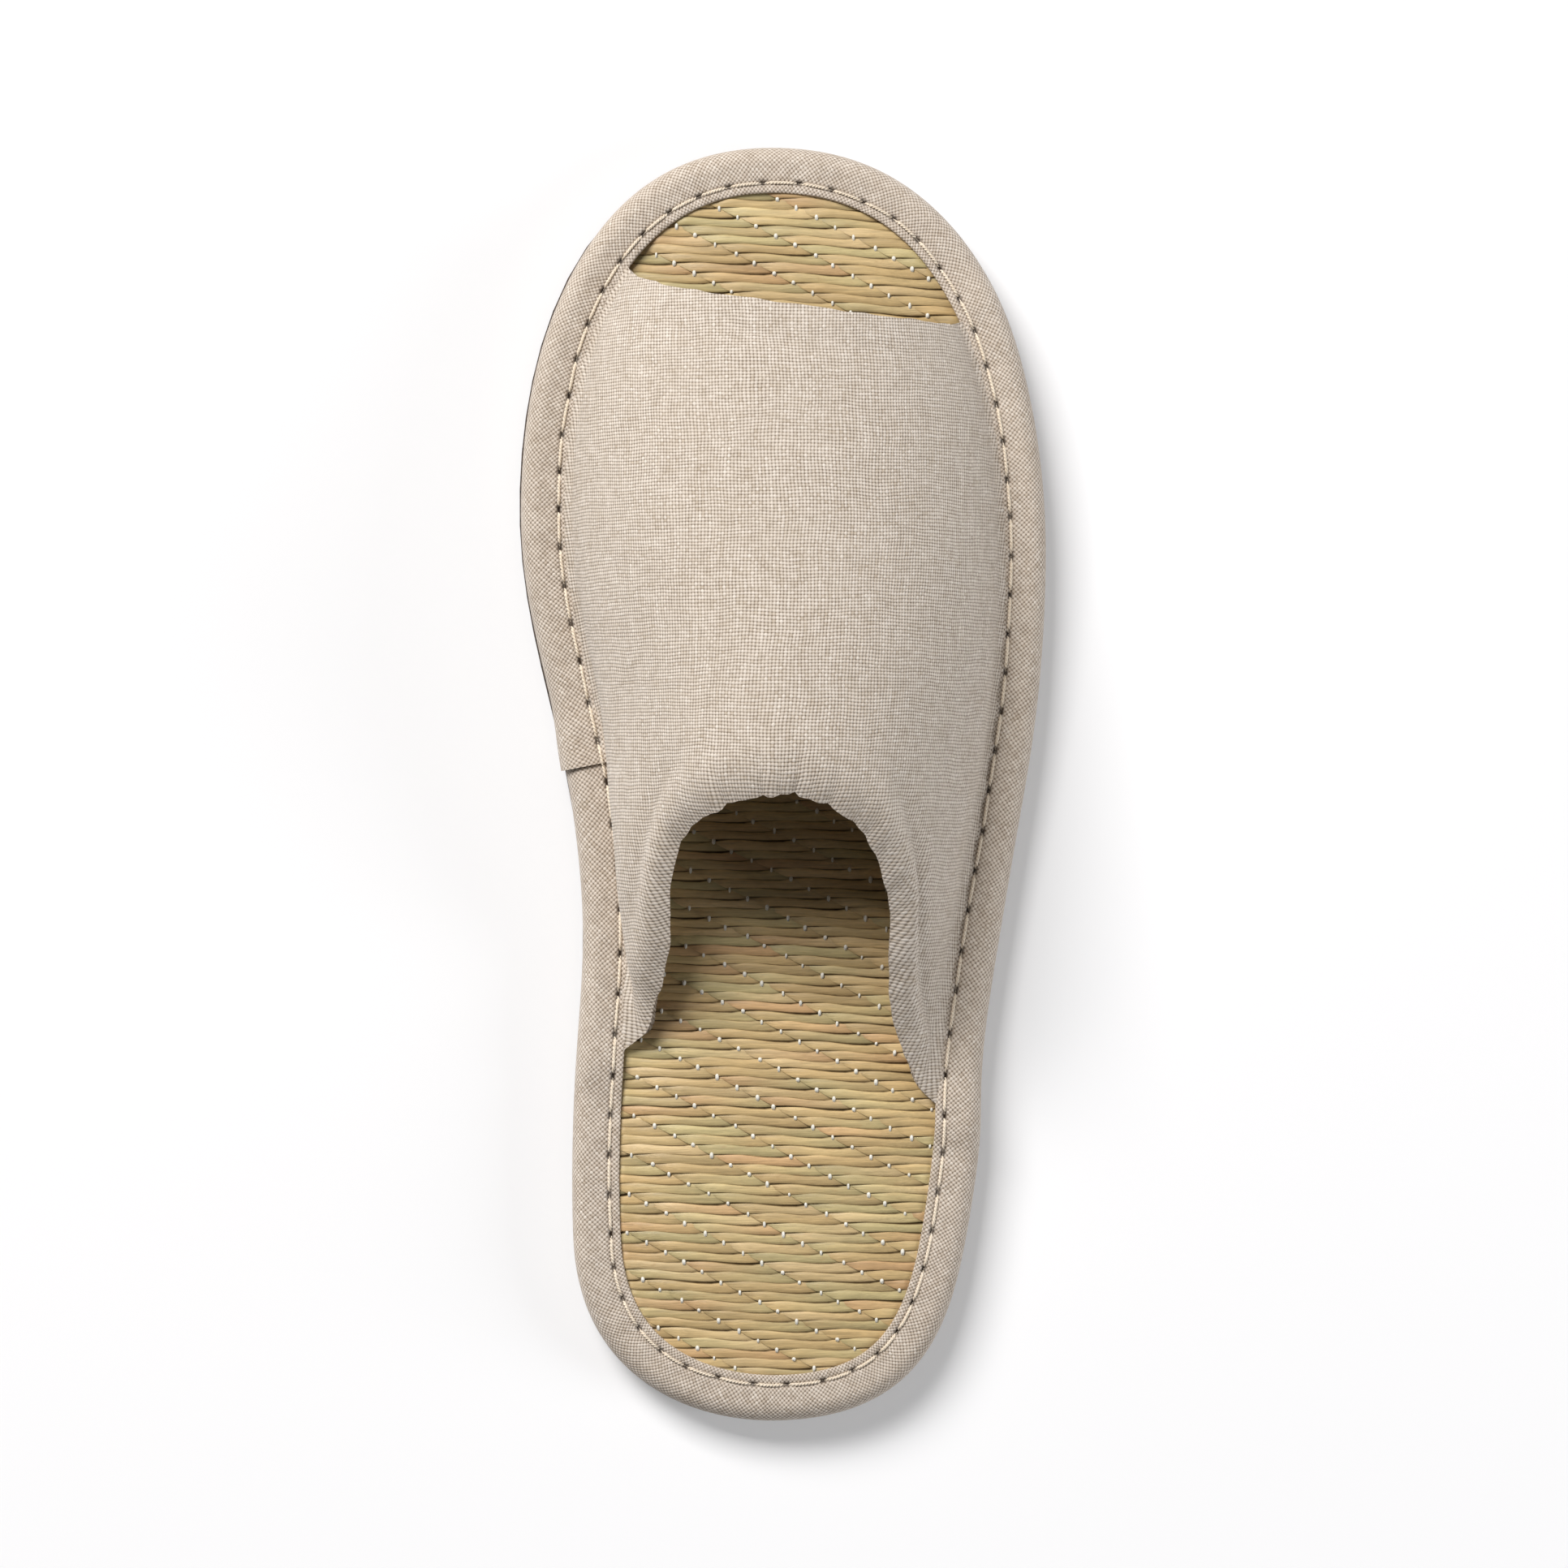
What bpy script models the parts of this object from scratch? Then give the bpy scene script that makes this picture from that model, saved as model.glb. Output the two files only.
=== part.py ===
"""Open-toed rush slipper for the right foot.

A flat outsole, a rush-faced insole, a folded tape that binds the sole's edge, and an arched vamp
whose side flanges lie under the tape. +Y is towards the toe, +X is the lateral side, +Z is up, and
the floor is at zero.
"""
import math
from collections import namedtuple

import bmesh
import bpy
import numpy as np
from mathutils import Vector

MM = 0.001

# Driving sizes of the whole slipper
SOLE_LENGTH = 260.0 * MM
BALL_WIDTH = 107.3 * MM
INSTEP_HEIGHT = 58.5 * MM

# Layers of the sole, and the gap that touching pieces keep
FIT_GAP = 0.3 * MM
OUTSOLE_THICKNESS = 3.0 * MM
INSOLE_THICKNESS = 5.8 * MM
INSOLE_CROWN = 1.2 * MM
CROWN_RUN = 12.0 * MM
CROWN_STEPS = (0.3, 0.6, 1.0)

# Outsole, cemented on slightly askew as the photograph shows at the medial ball
OUTSOLE_INSET = 0.5 * MM
OUTSOLE_SLIP = 0.5 * MM
OUTSOLE_TURN = math.radians(0.3)
OUTSOLE_BEVEL = 0.4 * MM

# Binding tape
TAPE_THICKNESS = 1.0 * MM
TOP_FLAP = 9.3 * MM
BOTTOM_FLAP = 9.0 * MM
SHOULDER_RADIUS = 4.0 * MM
LOWER_RADIUS = 2.0 * MM
FLAP_RISE_RUN = 8.0 * MM
LAP_STEP = 0.6 * MM
LAP_RUN = 20.0 * MM
LAP_END = 0.4 * MM
FLAP_END_BEVEL = 0.3 * MM

# Vamp
VAMP_THICKNESS = 2.4 * MM
TOE_ROLL = 2.4 * MM
COLLAR_ROLL = 3.0 * MM
FLANGE_THICKNESS = 0.8 * MM
FLANGE_WIDTH = 4.4 * MM
SWELL_PEAK = 0.22
SWELL_RISE = 1.5
ROLL_STARTS = 0.88

# Heights and insets that follow from the sizes above
BINDING_BOTTOM = OUTSOLE_THICKNESS + FIT_GAP
INSOLE_RIM_BOTTOM = BINDING_BOTTOM + TAPE_THICKNESS + FIT_GAP
INSOLE_RIM_TOP = INSOLE_RIM_BOTTOM + INSOLE_THICKNESS
FLAP_BOTTOM = INSOLE_RIM_TOP + FIT_GAP
FLAP_RISE = FLANGE_THICKNESS + FIT_GAP
FLANGE_TOP = FLAP_BOTTOM + FLANGE_THICKNESS
VAMP_OUTER_INSET = TOP_FLAP + FIT_GAP
SEAM_INSET = VAMP_OUTER_INSET + VAMP_THICKNESS / 2
CROWN_INSET = SEAM_INSET + VAMP_THICKNESS / 2 + FIT_GAP
INSOLE_INSET = TAPE_THICKNESS + FIT_GAP

# Numbers of stations
OUTLINE_STATIONS = 84
SEGMENT_STEPS = 48
VAMP_ROWS = 18
VAMP_COLUMNS = 26
ROLL_ANGLES = (35.0, 68.0)
TANGENT_STEP = 0.01

# The sole's outline, from the heel tip round the lateral side. Across is a share of the ball width;
# along and the handles' reaches are shares of the sole's length; heading is in degrees from +X.
Knot = namedtuple("Knot", "name across along heading reach_in reach_out")
OUTLINE = (
    Knot("heel_tip", -0.019, -0.500, 0.0, 0.057, 0.127),
    Knot("lateral_heel", 0.359, -0.329, 81.7, 0.081, 0.072),
    Knot("lateral_waist", 0.381, -0.208, 84.5, 0.055, 0.107),
    Knot("lateral_ball", 0.500, 0.176, 90.0, 0.139, 0.153),
    Knot("toe_tip", -0.021, 0.500, 180.0, 0.168, 0.140),
    Knot("medial_ball", -0.500, 0.216, 270.0, 0.146, 0.114),
    Knot("medial_waist", -0.383, -0.116, 270.0, 0.141, 0.057),
    Knot("medial_heel", -0.400, -0.358, 272.9, 0.097, 0.117),
)
LAP_ALONG = 0.010

# Sections of the vamp, from heel to toe. Along is a share of the sole's length, height is the
# crown's share of the instep's height, and the other columns are shares of the ball width. A foot
# column is how far a flank swells out low over the tape, and a lean column how far it stands out
# of a plain arch half way up, negative where it leans in.
Section = namedtuple(
    "Section", "along height across medial_foot medial_lean lateral_foot lateral_lean"
)
SECTIONS = (
    Section(-0.270, 0.900, -0.020, 0.010, -0.030, 0.000, -0.040),
    Section(-0.200, 0.950, -0.028, 0.034, -0.115, 0.002, -0.054),
    Section(-0.165, 0.970, -0.030, 0.052, -0.105, 0.004, -0.044),
    Section(-0.130, 0.990, -0.032, 0.054, -0.055, 0.004, -0.028),
    Section(-0.090, 1.000, -0.032, 0.042, -0.004, 0.004, -0.015),
    Section(-0.050, 1.005, -0.030, 0.034, 0.014, 0.004, -0.008),
    Section(0.000, 1.000, -0.022, 0.032, 0.012, 0.008, -0.004),
    Section(0.080, 0.955, -0.008, 0.015, 0.000, 0.006, 0.000),
    Section(0.160, 0.885, 0.000, 0.004, 0.000, 0.002, 0.000),
    Section(0.240, 0.800, 0.004, 0.000, 0.000, 0.000, 0.000),
    Section(0.310, 0.710, 0.004, 0.000, 0.000, 0.000, 0.000),
    Section(0.370, 0.625, 0.002, 0.000, 0.000, 0.002, 0.000),
    Section(0.420, 0.550, 0.000, 0.000, 0.000, 0.004, 0.000),
)
CROWN_REACH = 0.66
FLANK_REACH = 0.15

# Where the vamp's two open edges run. Around goes from the medial seam (-1) over the crown (0) to
# the lateral seam (1); toe and collar are shares of the sole's length.
Edge = namedtuple("Edge", "around toe collar")
EDGES = (
    Edge(-1.00, 0.408, -0.206),
    Edge(-0.90, 0.404, -0.191),
    Edge(-0.80, 0.401, -0.180),
    Edge(-0.70, 0.398, -0.157),
    Edge(-0.60, 0.395, -0.119),
    Edge(-0.50, 0.391, -0.069),
    Edge(-0.40, 0.387, -0.038),
    Edge(-0.30, 0.384, -0.026),
    Edge(-0.20, 0.380, -0.016),
    Edge(-0.10, 0.377, -0.012),
    Edge(0.00, 0.373, -0.010),
    Edge(0.10, 0.370, -0.015),
    Edge(0.20, 0.367, -0.027),
    Edge(0.30, 0.365, -0.045),
    Edge(0.40, 0.364, -0.074),
    Edge(0.50, 0.363, -0.108),
    Edge(0.60, 0.362, -0.155),
    Edge(0.70, 0.362, -0.192),
    Edge(0.80, 0.363, -0.220),
    Edge(0.90, 0.364, -0.240),
    Edge(1.00, 0.365, -0.254),
)


def smooth_column(rows, key, column, at):
    """Read a table's column at any key, along a smooth curve through its rows."""
    keys = [getattr(row, key) for row in rows]
    values = [getattr(row, column) for row in rows]
    at = min(max(at, keys[0]), keys[-1])
    last = len(keys) - 1
    index = min(max(int(np.searchsorted(keys, at)) - 1, 0), last - 1)

    def slope(row):
        low = max(row - 1, 0)
        high = min(row + 1, last)
        return (values[high] - values[low]) / (keys[high] - keys[low])

    span = keys[index + 1] - keys[index]
    t = (at - keys[index]) / span
    blend = t * t * (3.0 - 2.0 * t)
    ease_out = t * (1.0 - t) ** 2 * span * slope(index)
    ease_in = t * t * (1.0 - t) * span * slope(index + 1)
    return values[index] * (1.0 - blend) + values[index + 1] * blend + ease_out - ease_in


def smooth_step(value):
    value = min(max(value, 0.0), 1.0)
    return value * value * (3.0 - 2.0 * value)


def bezier(points, t):
    """A cubic's point and its direction at t."""
    a, b, c, d = points
    r = 1.0 - t
    place = a * r ** 3 + b * (3 * r * r * t) + c * (3 * r * t * t) + d * t ** 3
    course = (b - a) * (3 * r * r) + (c - b) * (6 * r * t) + (d - c) * (3 * t * t)
    return place, course


def dense_outline():
    """Points and outward normals all round the sole, close together."""
    points = []
    normals = []
    for knot, following in zip(OUTLINE, OUTLINE[1:] + OUTLINE[:1]):
        start = Vector((knot.across * BALL_WIDTH, knot.along * SOLE_LENGTH))
        end = Vector((following.across * BALL_WIDTH, following.along * SOLE_LENGTH))
        leave = math.radians(knot.heading)
        arrive = math.radians(following.heading)
        out = Vector((math.cos(leave), math.sin(leave))) * knot.reach_out * SOLE_LENGTH
        back = Vector((math.cos(arrive), math.sin(arrive))) * following.reach_in * SOLE_LENGTH
        handles = (start, start + out, end - back, end)
        for step in range(SEGMENT_STEPS):
            place, course = bezier(handles, step / SEGMENT_STEPS)
            course.normalize()
            points.append(place)
            normals.append(Vector((course.y, -course.x)))
    return points, normals


DENSE_POINTS, DENSE_NORMALS = dense_outline()


def outline_stations(count):
    """Evenly spaced stations round the outline, with one close pair at the tape's lap.

    Each is a point, its outward normal, and the way left to the lap's end.
    """
    points = DENSE_POINTS + DENSE_POINTS[:1]
    lengths = [0.0]
    for here, there in zip(points, points[1:]):
        lengths.append(lengths[-1] + (there - here).length)
    xs = [p.x for p in points]
    ys = [p.y for p in points]
    nxs = [n.x for n in DENSE_NORMALS + DENSE_NORMALS[:1]]
    nys = [n.y for n in DENSE_NORMALS + DENSE_NORMALS[:1]]
    medial = [i for i in range(len(points)) if points[i].x < 0 and i > len(points) / 2]
    lap = min(medial, key=lambda i: abs(points[i].y - LAP_ALONG * SOLE_LENGTH))
    total = lengths[-1]
    places = [lengths[lap] + total * i / count for i in range(count)]
    places.append(lengths[lap] + total - LAP_END)
    stations = []
    for place in places:
        at = place % total
        point = Vector((np.interp(at, lengths, xs), np.interp(at, lengths, ys)))
        normal = Vector((np.interp(at, lengths, nxs), np.interp(at, lengths, nys)))
        before_lap = total - (place - lengths[lap])
        stations.append((point, normal.normalized(), before_lap))
    return stations


def seam_table(side, inset):
    """The line at one inset on one side, sorted from heel to toe, with its normals."""
    rows = []
    for point, normal in zip(DENSE_POINTS, DENSE_NORMALS):
        place = point - normal * inset
        if place.x * side > 0:
            rows.append((place.y, place.x, normal.x, normal.y))
    rows.sort()
    return [list(column) for column in zip(*rows)]


SEAMS = {side: seam_table(side, SEAM_INSET) for side in (-1, 1)}


def seam_at(side, along):
    """The seam's place and outward normal where it passes one distance along the sole."""
    ys, xs, nxs, nys = SEAMS[side]
    normal = Vector((np.interp(along, ys, nxs), np.interp(along, ys, nys))).normalized()
    return Vector((np.interp(along, ys, xs), along)), normal


def foot_swell(height, rise):
    """How much of a flank's low swelling shows at a height over the seam; one at its peak."""
    start = FLAP_RISE + TAPE_THICKNESS + FIT_GAP - FLANGE_THICKNESS + VAMP_THICKNESS / 4
    share = min(max((height - start) / (rise - start), 0.0), 1.0)
    fade = SWELL_RISE * (1.0 - SWELL_PEAK) / SWELL_PEAK
    return (share / SWELL_PEAK) ** SWELL_RISE * ((1.0 - share) / (1.0 - SWELL_PEAK)) ** fade


def flank_lean(share):
    """How much of a flank's lean shows at a share of the arch's height; one half way up."""
    return (4.0 * share * (1.0 - share)) ** SWELL_RISE


def vamp_middle(around, down):
    """A point half way through the vamp's wall: around -1..1, down 0 at the toe, 1 at the collar."""
    toe = smooth_column(EDGES, "around", "toe", around) * SOLE_LENGTH - TOE_ROLL / 2
    collar = smooth_column(EDGES, "around", "collar", around) * SOLE_LENGTH + COLLAR_ROLL / 2
    along = toe + (collar - toe) * down
    share = along / SOLE_LENGTH
    side = -1 if around < 0 else 1
    seam, _ = seam_at(side, along)
    crown_x = smooth_column(SECTIONS, "along", "across", share) * BALL_WIDTH
    height = smooth_column(SECTIONS, "along", "height", share) * INSTEP_HEIGHT
    rise = height - VAMP_THICKNESS / 2 - FLANGE_TOP
    half = seam.x - crown_x
    handles = (
        Vector((crown_x, rise)),
        Vector((crown_x + half * CROWN_REACH, rise)),
        Vector((seam.x, rise * FLANK_REACH)),
        Vector((seam.x, 0.0)),
    )
    place, _ = bezier(handles, abs(around))
    name = "medial" if side < 0 else "lateral"
    foot = smooth_column(SECTIONS, "along", name + "_foot", share) * BALL_WIDTH
    lean = smooth_column(SECTIONS, "along", name + "_lean", share) * BALL_WIDTH
    up = min(max(place.y / rise, 0.0), 1.0)
    place.x += side * (foot * foot_swell(place.y, rise) + lean * flank_lean(up))
    return Vector((place.x, along, FLANGE_TOP + place.y))


def vamp_normal(around, down):
    """The wall's outward direction and its direction across the arch, from its two tangents."""
    low_a = max(around - TANGENT_STEP, -1.0)
    high_a = min(around + TANGENT_STEP, 1.0)
    low_d = max(down - TANGENT_STEP, 0.0)
    high_d = min(down + TANGENT_STEP, 1.0)
    across = vamp_middle(high_a, down) - vamp_middle(low_a, down)
    along = vamp_middle(around, high_d) - vamp_middle(around, low_d)
    return along.cross(across).normalized(), across.normalized()


def skin(name, loops, ring=False, close=None):
    """Join loops of equal length with quads, and close the ring or its two ends."""
    mesh = bmesh.new()
    rows = [[mesh.verts.new(point) for point in loop] for loop in loops]
    count = len(rows[0])
    pairs = list(zip(rows, rows[1:]))
    if ring:
        pairs.append((rows[-1], rows[0]))
    for here, there in pairs:
        for i in range(count):
            j = (i + 1) % count
            mesh.faces.new((here[i], here[j], there[j], there[i]))
    if not ring:
        for row in (rows[0], rows[-1]):
            if close:
                close(mesh, row)
            else:
                mesh.faces.new(row)
    bmesh.ops.recalc_face_normals(mesh, faces=mesh.faces)
    data = bpy.data.meshes.new(name)
    mesh.to_mesh(data)
    mesh.free()
    data.shade_smooth()
    data.set_sharp_from_angle(angle=math.radians(50.0))
    piece = bpy.data.objects.new(name, data)
    bpy.context.scene.collection.objects.link(piece)
    return piece


def arc(centre, radius, start, end, steps):
    """Points of a quarter round in a section's own plane, angles in degrees."""
    points = []
    for i in range(steps + 1):
        angle = math.radians(start + (end - start) * i / steps)
        points.append((centre[0] + radius * math.cos(angle), centre[1] + radius * math.sin(angle)))
    return points


def place_section(station, places):
    """A section's insets and heights as points in space, where the station stands."""
    point, normal, _ = station
    return [(*(point - normal * inset), height) for inset, height in places]


def slab(name, stations, places):
    """A solid whose rim has one section all round, filled flat at its first and last places."""
    columns = [place_section(station, places) for station in stations]
    return skin(name, list(zip(*columns)))


def build_outsole(stations):
    """A flat slab, moved and turned by the small amount that it was cemented askew."""
    places = [
        (OUTSOLE_INSET + OUTSOLE_BEVEL, 0.0),
        (OUTSOLE_INSET, OUTSOLE_BEVEL),
        (OUTSOLE_INSET, OUTSOLE_THICKNESS - OUTSOLE_BEVEL),
        (OUTSOLE_INSET + OUTSOLE_BEVEL, OUTSOLE_THICKNESS),
    ]
    piece = slab("outsole", stations, places)
    piece.location = (-OUTSOLE_SLIP, 0.0, 0.0)
    piece.rotation_euler = (0.0, 0.0, OUTSOLE_TURN)
    return piece


def build_insole(stations):
    """Rim under the flaps, round shoulders, and a low crown inside the binding."""
    shoulder = SHOULDER_RADIUS - INSOLE_INSET
    lower = LOWER_RADIUS - INSOLE_INSET
    plug = BOTTOM_FLAP + FIT_GAP
    places = [(plug + FIT_GAP, BINDING_BOTTOM), (plug, INSOLE_RIM_BOTTOM)]
    places += arc((INSOLE_INSET + lower, INSOLE_RIM_BOTTOM + lower), lower, 270.0, 180.0, 1)
    places += arc((INSOLE_INSET + shoulder, INSOLE_RIM_TOP - shoulder), shoulder, 180.0, 90.0, 3)
    places.append((CROWN_INSET, INSOLE_RIM_TOP))
    for share in CROWN_STEPS:
        rise = INSOLE_CROWN * math.sin(share * math.pi / 2)
        places.append((CROWN_INSET + CROWN_RUN * share, INSOLE_RIM_TOP + rise))
    return slab("insole", stations, places)


def flange_span(side):
    """Where the vamp's flange ends on one side, towards the heel and towards the toe."""
    heel_end = vamp_middle(side, 1.0).y - COLLAR_ROLL / 2
    toe_end = vamp_middle(side, 0.0).y + TOE_ROLL / 2
    return heel_end, toe_end


FLANGE_SPANS = {side: flange_span(side) for side in (-1, 1)}


def flap_rise(point, normal):
    """The tape lies higher where the vamp's flange is under it."""
    inner = point - normal * (SEAM_INSET - FLANGE_WIDTH / 2)
    heel_end, toe_end = FLANGE_SPANS[-1 if point.x < 0 else 1]
    past = max(inner.y - toe_end, heel_end - inner.y)
    return FLAP_RISE * (1.0 - smooth_step(past / FLAP_RISE_RUN))


def binding_places(station):
    """A U of tape: bottom flap, outer wall with two rounds, and top flap with a soft end."""
    point, normal, before_lap = station
    lap = LAP_STEP * (1.0 - min(before_lap / LAP_RUN, 1.0))
    wall = TAPE_THICKNESS
    bottom = BINDING_BOTTOM
    top = FLAP_BOTTOM + wall + flap_rise(point, normal)
    low = LOWER_RADIUS
    shoulder = SHOULDER_RADIUS
    places = [(BOTTOM_FLAP, bottom + wall), (BOTTOM_FLAP, bottom)]
    for inset, height in arc((low, bottom + low), low, 270.0, 180.0, 2):
        places.append((inset - lap * (1.0 - inset / low), height))
    for inset, height in arc((shoulder, top - shoulder), shoulder, 180.0, 90.0, 4):
        places.append((inset - lap * (1.0 - inset / shoulder), height))
    places.append((TOP_FLAP - FLAP_END_BEVEL, top))
    places.append((TOP_FLAP, top - FLAP_END_BEVEL))
    places.append((TOP_FLAP, top - wall))
    places += arc((shoulder, top - shoulder), shoulder - wall, 90.0, 180.0, 3)
    places += arc((low, bottom + low), low - wall, 180.0, 270.0, 1)
    return places


def build_binding(stations):
    loops = [place_section(station, binding_places(station)) for station in stations]
    return skin("binding", loops, ring=True)


def vamp_half_thickness(down):
    """The wall swells a little into the roll at the collar."""
    swell = smooth_step((down - ROLL_STARTS) / (1.0 - ROLL_STARTS))
    return (VAMP_THICKNESS + (COLLAR_ROLL - VAMP_THICKNESS) * swell) / 2


def flange_points(side, foot, shift, thinning):
    """One side's flange: the tip's top and bottom, then the place under the wall's inner side."""
    seam, normal = seam_at(side, foot.y)
    middle = FLANGE_TOP - FLANGE_THICKNESS / 2
    half = FLANGE_THICKNESS / 2 * thinning
    tip = seam + normal * (VAMP_THICKNESS / 2 + FLANGE_WIDTH)
    root = seam - normal * VAMP_THICKNESS / 2 * thinning
    places = ((tip, middle + half), (tip, middle - half), (root, FLAP_BOTTOM))
    return [Vector((place.x, place.y, height)) + shift for place, height in places]


def vamp_sides(around, down, roll, end):
    """The wall's outer and inner points at one place, and how far the roll carries them out.

    A roll above zero is an angle round an open edge, where the two sides close in on each other.
    """
    middle = vamp_middle(around, down)
    normal, across = vamp_normal(around, down)
    half = vamp_half_thickness(down)
    beyond = across.cross(normal).normalized() * end
    if abs(around) == 1.0:
        half = VAMP_THICKNESS / 2
        _, flat = seam_at(int(around), middle.y)
        normal = Vector((flat.x, flat.y, 0.0))
        beyond = Vector((-flat.y, flat.x, 0.0)) * int(around) * end
    shift = beyond * half * math.sin(roll)
    spread = normal * half * math.cos(roll)
    return middle + shift + spread, middle + shift - spread, shift


def vamp_loop(down, roll, end):
    """One closed loop: medial flange, the arch's outside, lateral flange, and back inside."""
    arounds = [-1.0 + 2.0 * i / VAMP_COLUMNS for i in range(VAMP_COLUMNS + 1)]
    sides = [vamp_sides(around, down, roll, end) for around in arounds]
    flanges = []
    for side, shift in ((-1, sides[0][2]), (1, sides[-1][2])):
        foot = vamp_middle(side, down)
        flanges.append(flange_points(side, foot, shift, math.cos(roll)))
    medial, lateral = flanges
    outside = [outer for outer, _, _ in sides]
    inside = [inner for _, inner, _ in sides]
    return medial[::-1] + outside + lateral + inside[::-1]


def close_roll(mesh, row):
    """Close an open edge: faces between its outer line and the inner line that faces it."""
    first = 3
    last = first + VAMP_COLUMNS
    facing = {i: len(row) - 1 - (i - first) for i in range(first, last + 1)}
    for i in range(first, last):
        mesh.faces.new((row[i], row[i + 1], row[facing[i + 1]], row[facing[i]]))
    mesh.faces.new((*row[: first + 1], row[facing[first]]))
    mesh.faces.new((*row[last : last + 4], row[facing[last]]))


def build_upper():
    """The vamp's wall with its two flanges, from the toe edge's roll to the collar's roll."""
    rolls = [math.radians(angle) for angle in ROLL_ANGLES]
    loops = [vamp_loop(0.0, roll, 1) for roll in reversed(rolls)]
    loops += [vamp_loop(row / VAMP_ROWS, 0.0, 1) for row in range(VAMP_ROWS + 1)]
    loops += [vamp_loop(1.0, roll, -1) for roll in rolls]
    return skin("upper", loops, close=close_roll)


def material(name, colour, roughness):
    made = bpy.data.materials.new(name)
    made.use_nodes = True
    shader = made.node_tree.nodes["Principled BSDF"]
    shader.inputs["Base Color"].default_value = (*colour, 1.0)
    shader.inputs["Roughness"].default_value = roughness
    shader.inputs["Metallic"].default_value = 0.0
    made.diffuse_color = (*colour, 1.0)
    return made


def main():
    for old in list(bpy.data.objects):
        bpy.data.objects.remove(old, do_unlink=True)
    stations = outline_stations(OUTLINE_STATIONS)
    linen = material("linen", (0.56, 0.49, 0.40), 0.92)
    rush = material("rush", (0.50, 0.42, 0.19), 0.60)
    brown_sheet = material("brown_sheet", (0.09, 0.06, 0.045), 0.75)
    build_outsole(stations).data.materials.append(brown_sheet)
    build_insole(stations).data.materials.append(rush)
    build_binding(stations).data.materials.append(linen)
    build_upper().data.materials.append(linen)


main()
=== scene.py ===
import math
from collections import namedtuple

import bmesh
import bpy
import numpy as np
from mathutils import Matrix, Vector


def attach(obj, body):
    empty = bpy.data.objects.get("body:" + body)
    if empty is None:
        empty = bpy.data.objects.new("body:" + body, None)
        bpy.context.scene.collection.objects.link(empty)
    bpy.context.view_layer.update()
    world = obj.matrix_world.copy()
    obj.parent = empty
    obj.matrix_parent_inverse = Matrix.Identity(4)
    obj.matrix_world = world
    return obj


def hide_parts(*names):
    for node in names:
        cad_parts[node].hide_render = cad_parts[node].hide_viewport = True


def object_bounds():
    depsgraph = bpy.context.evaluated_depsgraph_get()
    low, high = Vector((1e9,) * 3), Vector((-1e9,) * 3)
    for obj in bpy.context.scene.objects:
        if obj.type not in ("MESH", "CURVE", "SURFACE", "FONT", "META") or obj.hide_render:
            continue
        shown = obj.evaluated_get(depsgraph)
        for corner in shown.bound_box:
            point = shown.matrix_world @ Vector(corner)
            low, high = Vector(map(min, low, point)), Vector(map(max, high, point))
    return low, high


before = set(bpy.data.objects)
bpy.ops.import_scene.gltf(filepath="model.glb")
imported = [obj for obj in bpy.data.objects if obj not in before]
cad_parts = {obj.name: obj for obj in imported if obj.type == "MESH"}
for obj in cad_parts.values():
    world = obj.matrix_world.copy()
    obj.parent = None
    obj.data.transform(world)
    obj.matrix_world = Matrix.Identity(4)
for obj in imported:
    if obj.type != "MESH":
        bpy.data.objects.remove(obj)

CAD_LOW, CAD_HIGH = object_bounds()

MM = 0.001
SEED = 4127

# Driving sizes, as the solids have them
SOLE_LENGTH = 260.0 * MM
BALL_WIDTH = 107.3 * MM
INSTEP_HEIGHT = 58.5 * MM
FIT_GAP = 0.3 * MM
OUTSOLE_THICKNESS = 3.0 * MM
INSOLE_THICKNESS = 5.8 * MM
INSOLE_CROWN = 1.2 * MM
CROWN_RUN = 12.0 * MM
TAPE_THICKNESS = 1.0 * MM
TOP_FLAP = 9.3 * MM
FLAP_SNUG = 0.25 * MM
BOTTOM_FLAP = 9.0 * MM
SHOULDER_RADIUS = 4.0 * MM
LOWER_RADIUS = 2.0 * MM
FLAP_RISE_RUN = 8.0 * MM
VAMP_THICKNESS = 2.4 * MM
TOE_ROLL = 2.4 * MM
COLLAR_ROLL = 3.0 * MM
FLANGE_THICKNESS = 0.8 * MM
FLANGE_WIDTH = 4.4 * MM
SWELL_PEAK = 0.22
SWELL_RISE = 1.5
ROLL_STARTS = 0.88
CROWN_REACH = 0.66
FLANK_REACH = 0.15

# Heights and insets that follow from them
BINDING_BOTTOM = OUTSOLE_THICKNESS + FIT_GAP
INSOLE_RIM_BOTTOM = BINDING_BOTTOM + TAPE_THICKNESS + FIT_GAP
INSOLE_RIM_TOP = INSOLE_RIM_BOTTOM + INSOLE_THICKNESS
FLAP_BOTTOM = INSOLE_RIM_TOP + FIT_GAP
FLAP_RISE = FLANGE_THICKNESS + FIT_GAP
FLANGE_TOP = FLAP_BOTTOM + FLANGE_THICKNESS
SEAM_INSET = TOP_FLAP + FIT_GAP + VAMP_THICKNESS / 2
CROWN_INSET = SEAM_INSET + VAMP_THICKNESS / 2 + FIT_GAP
INSOLE_INSET = TAPE_THICKNESS + FIT_GAP
TAPE_TOP = FLAP_BOTTOM + TAPE_THICKNESS

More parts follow.
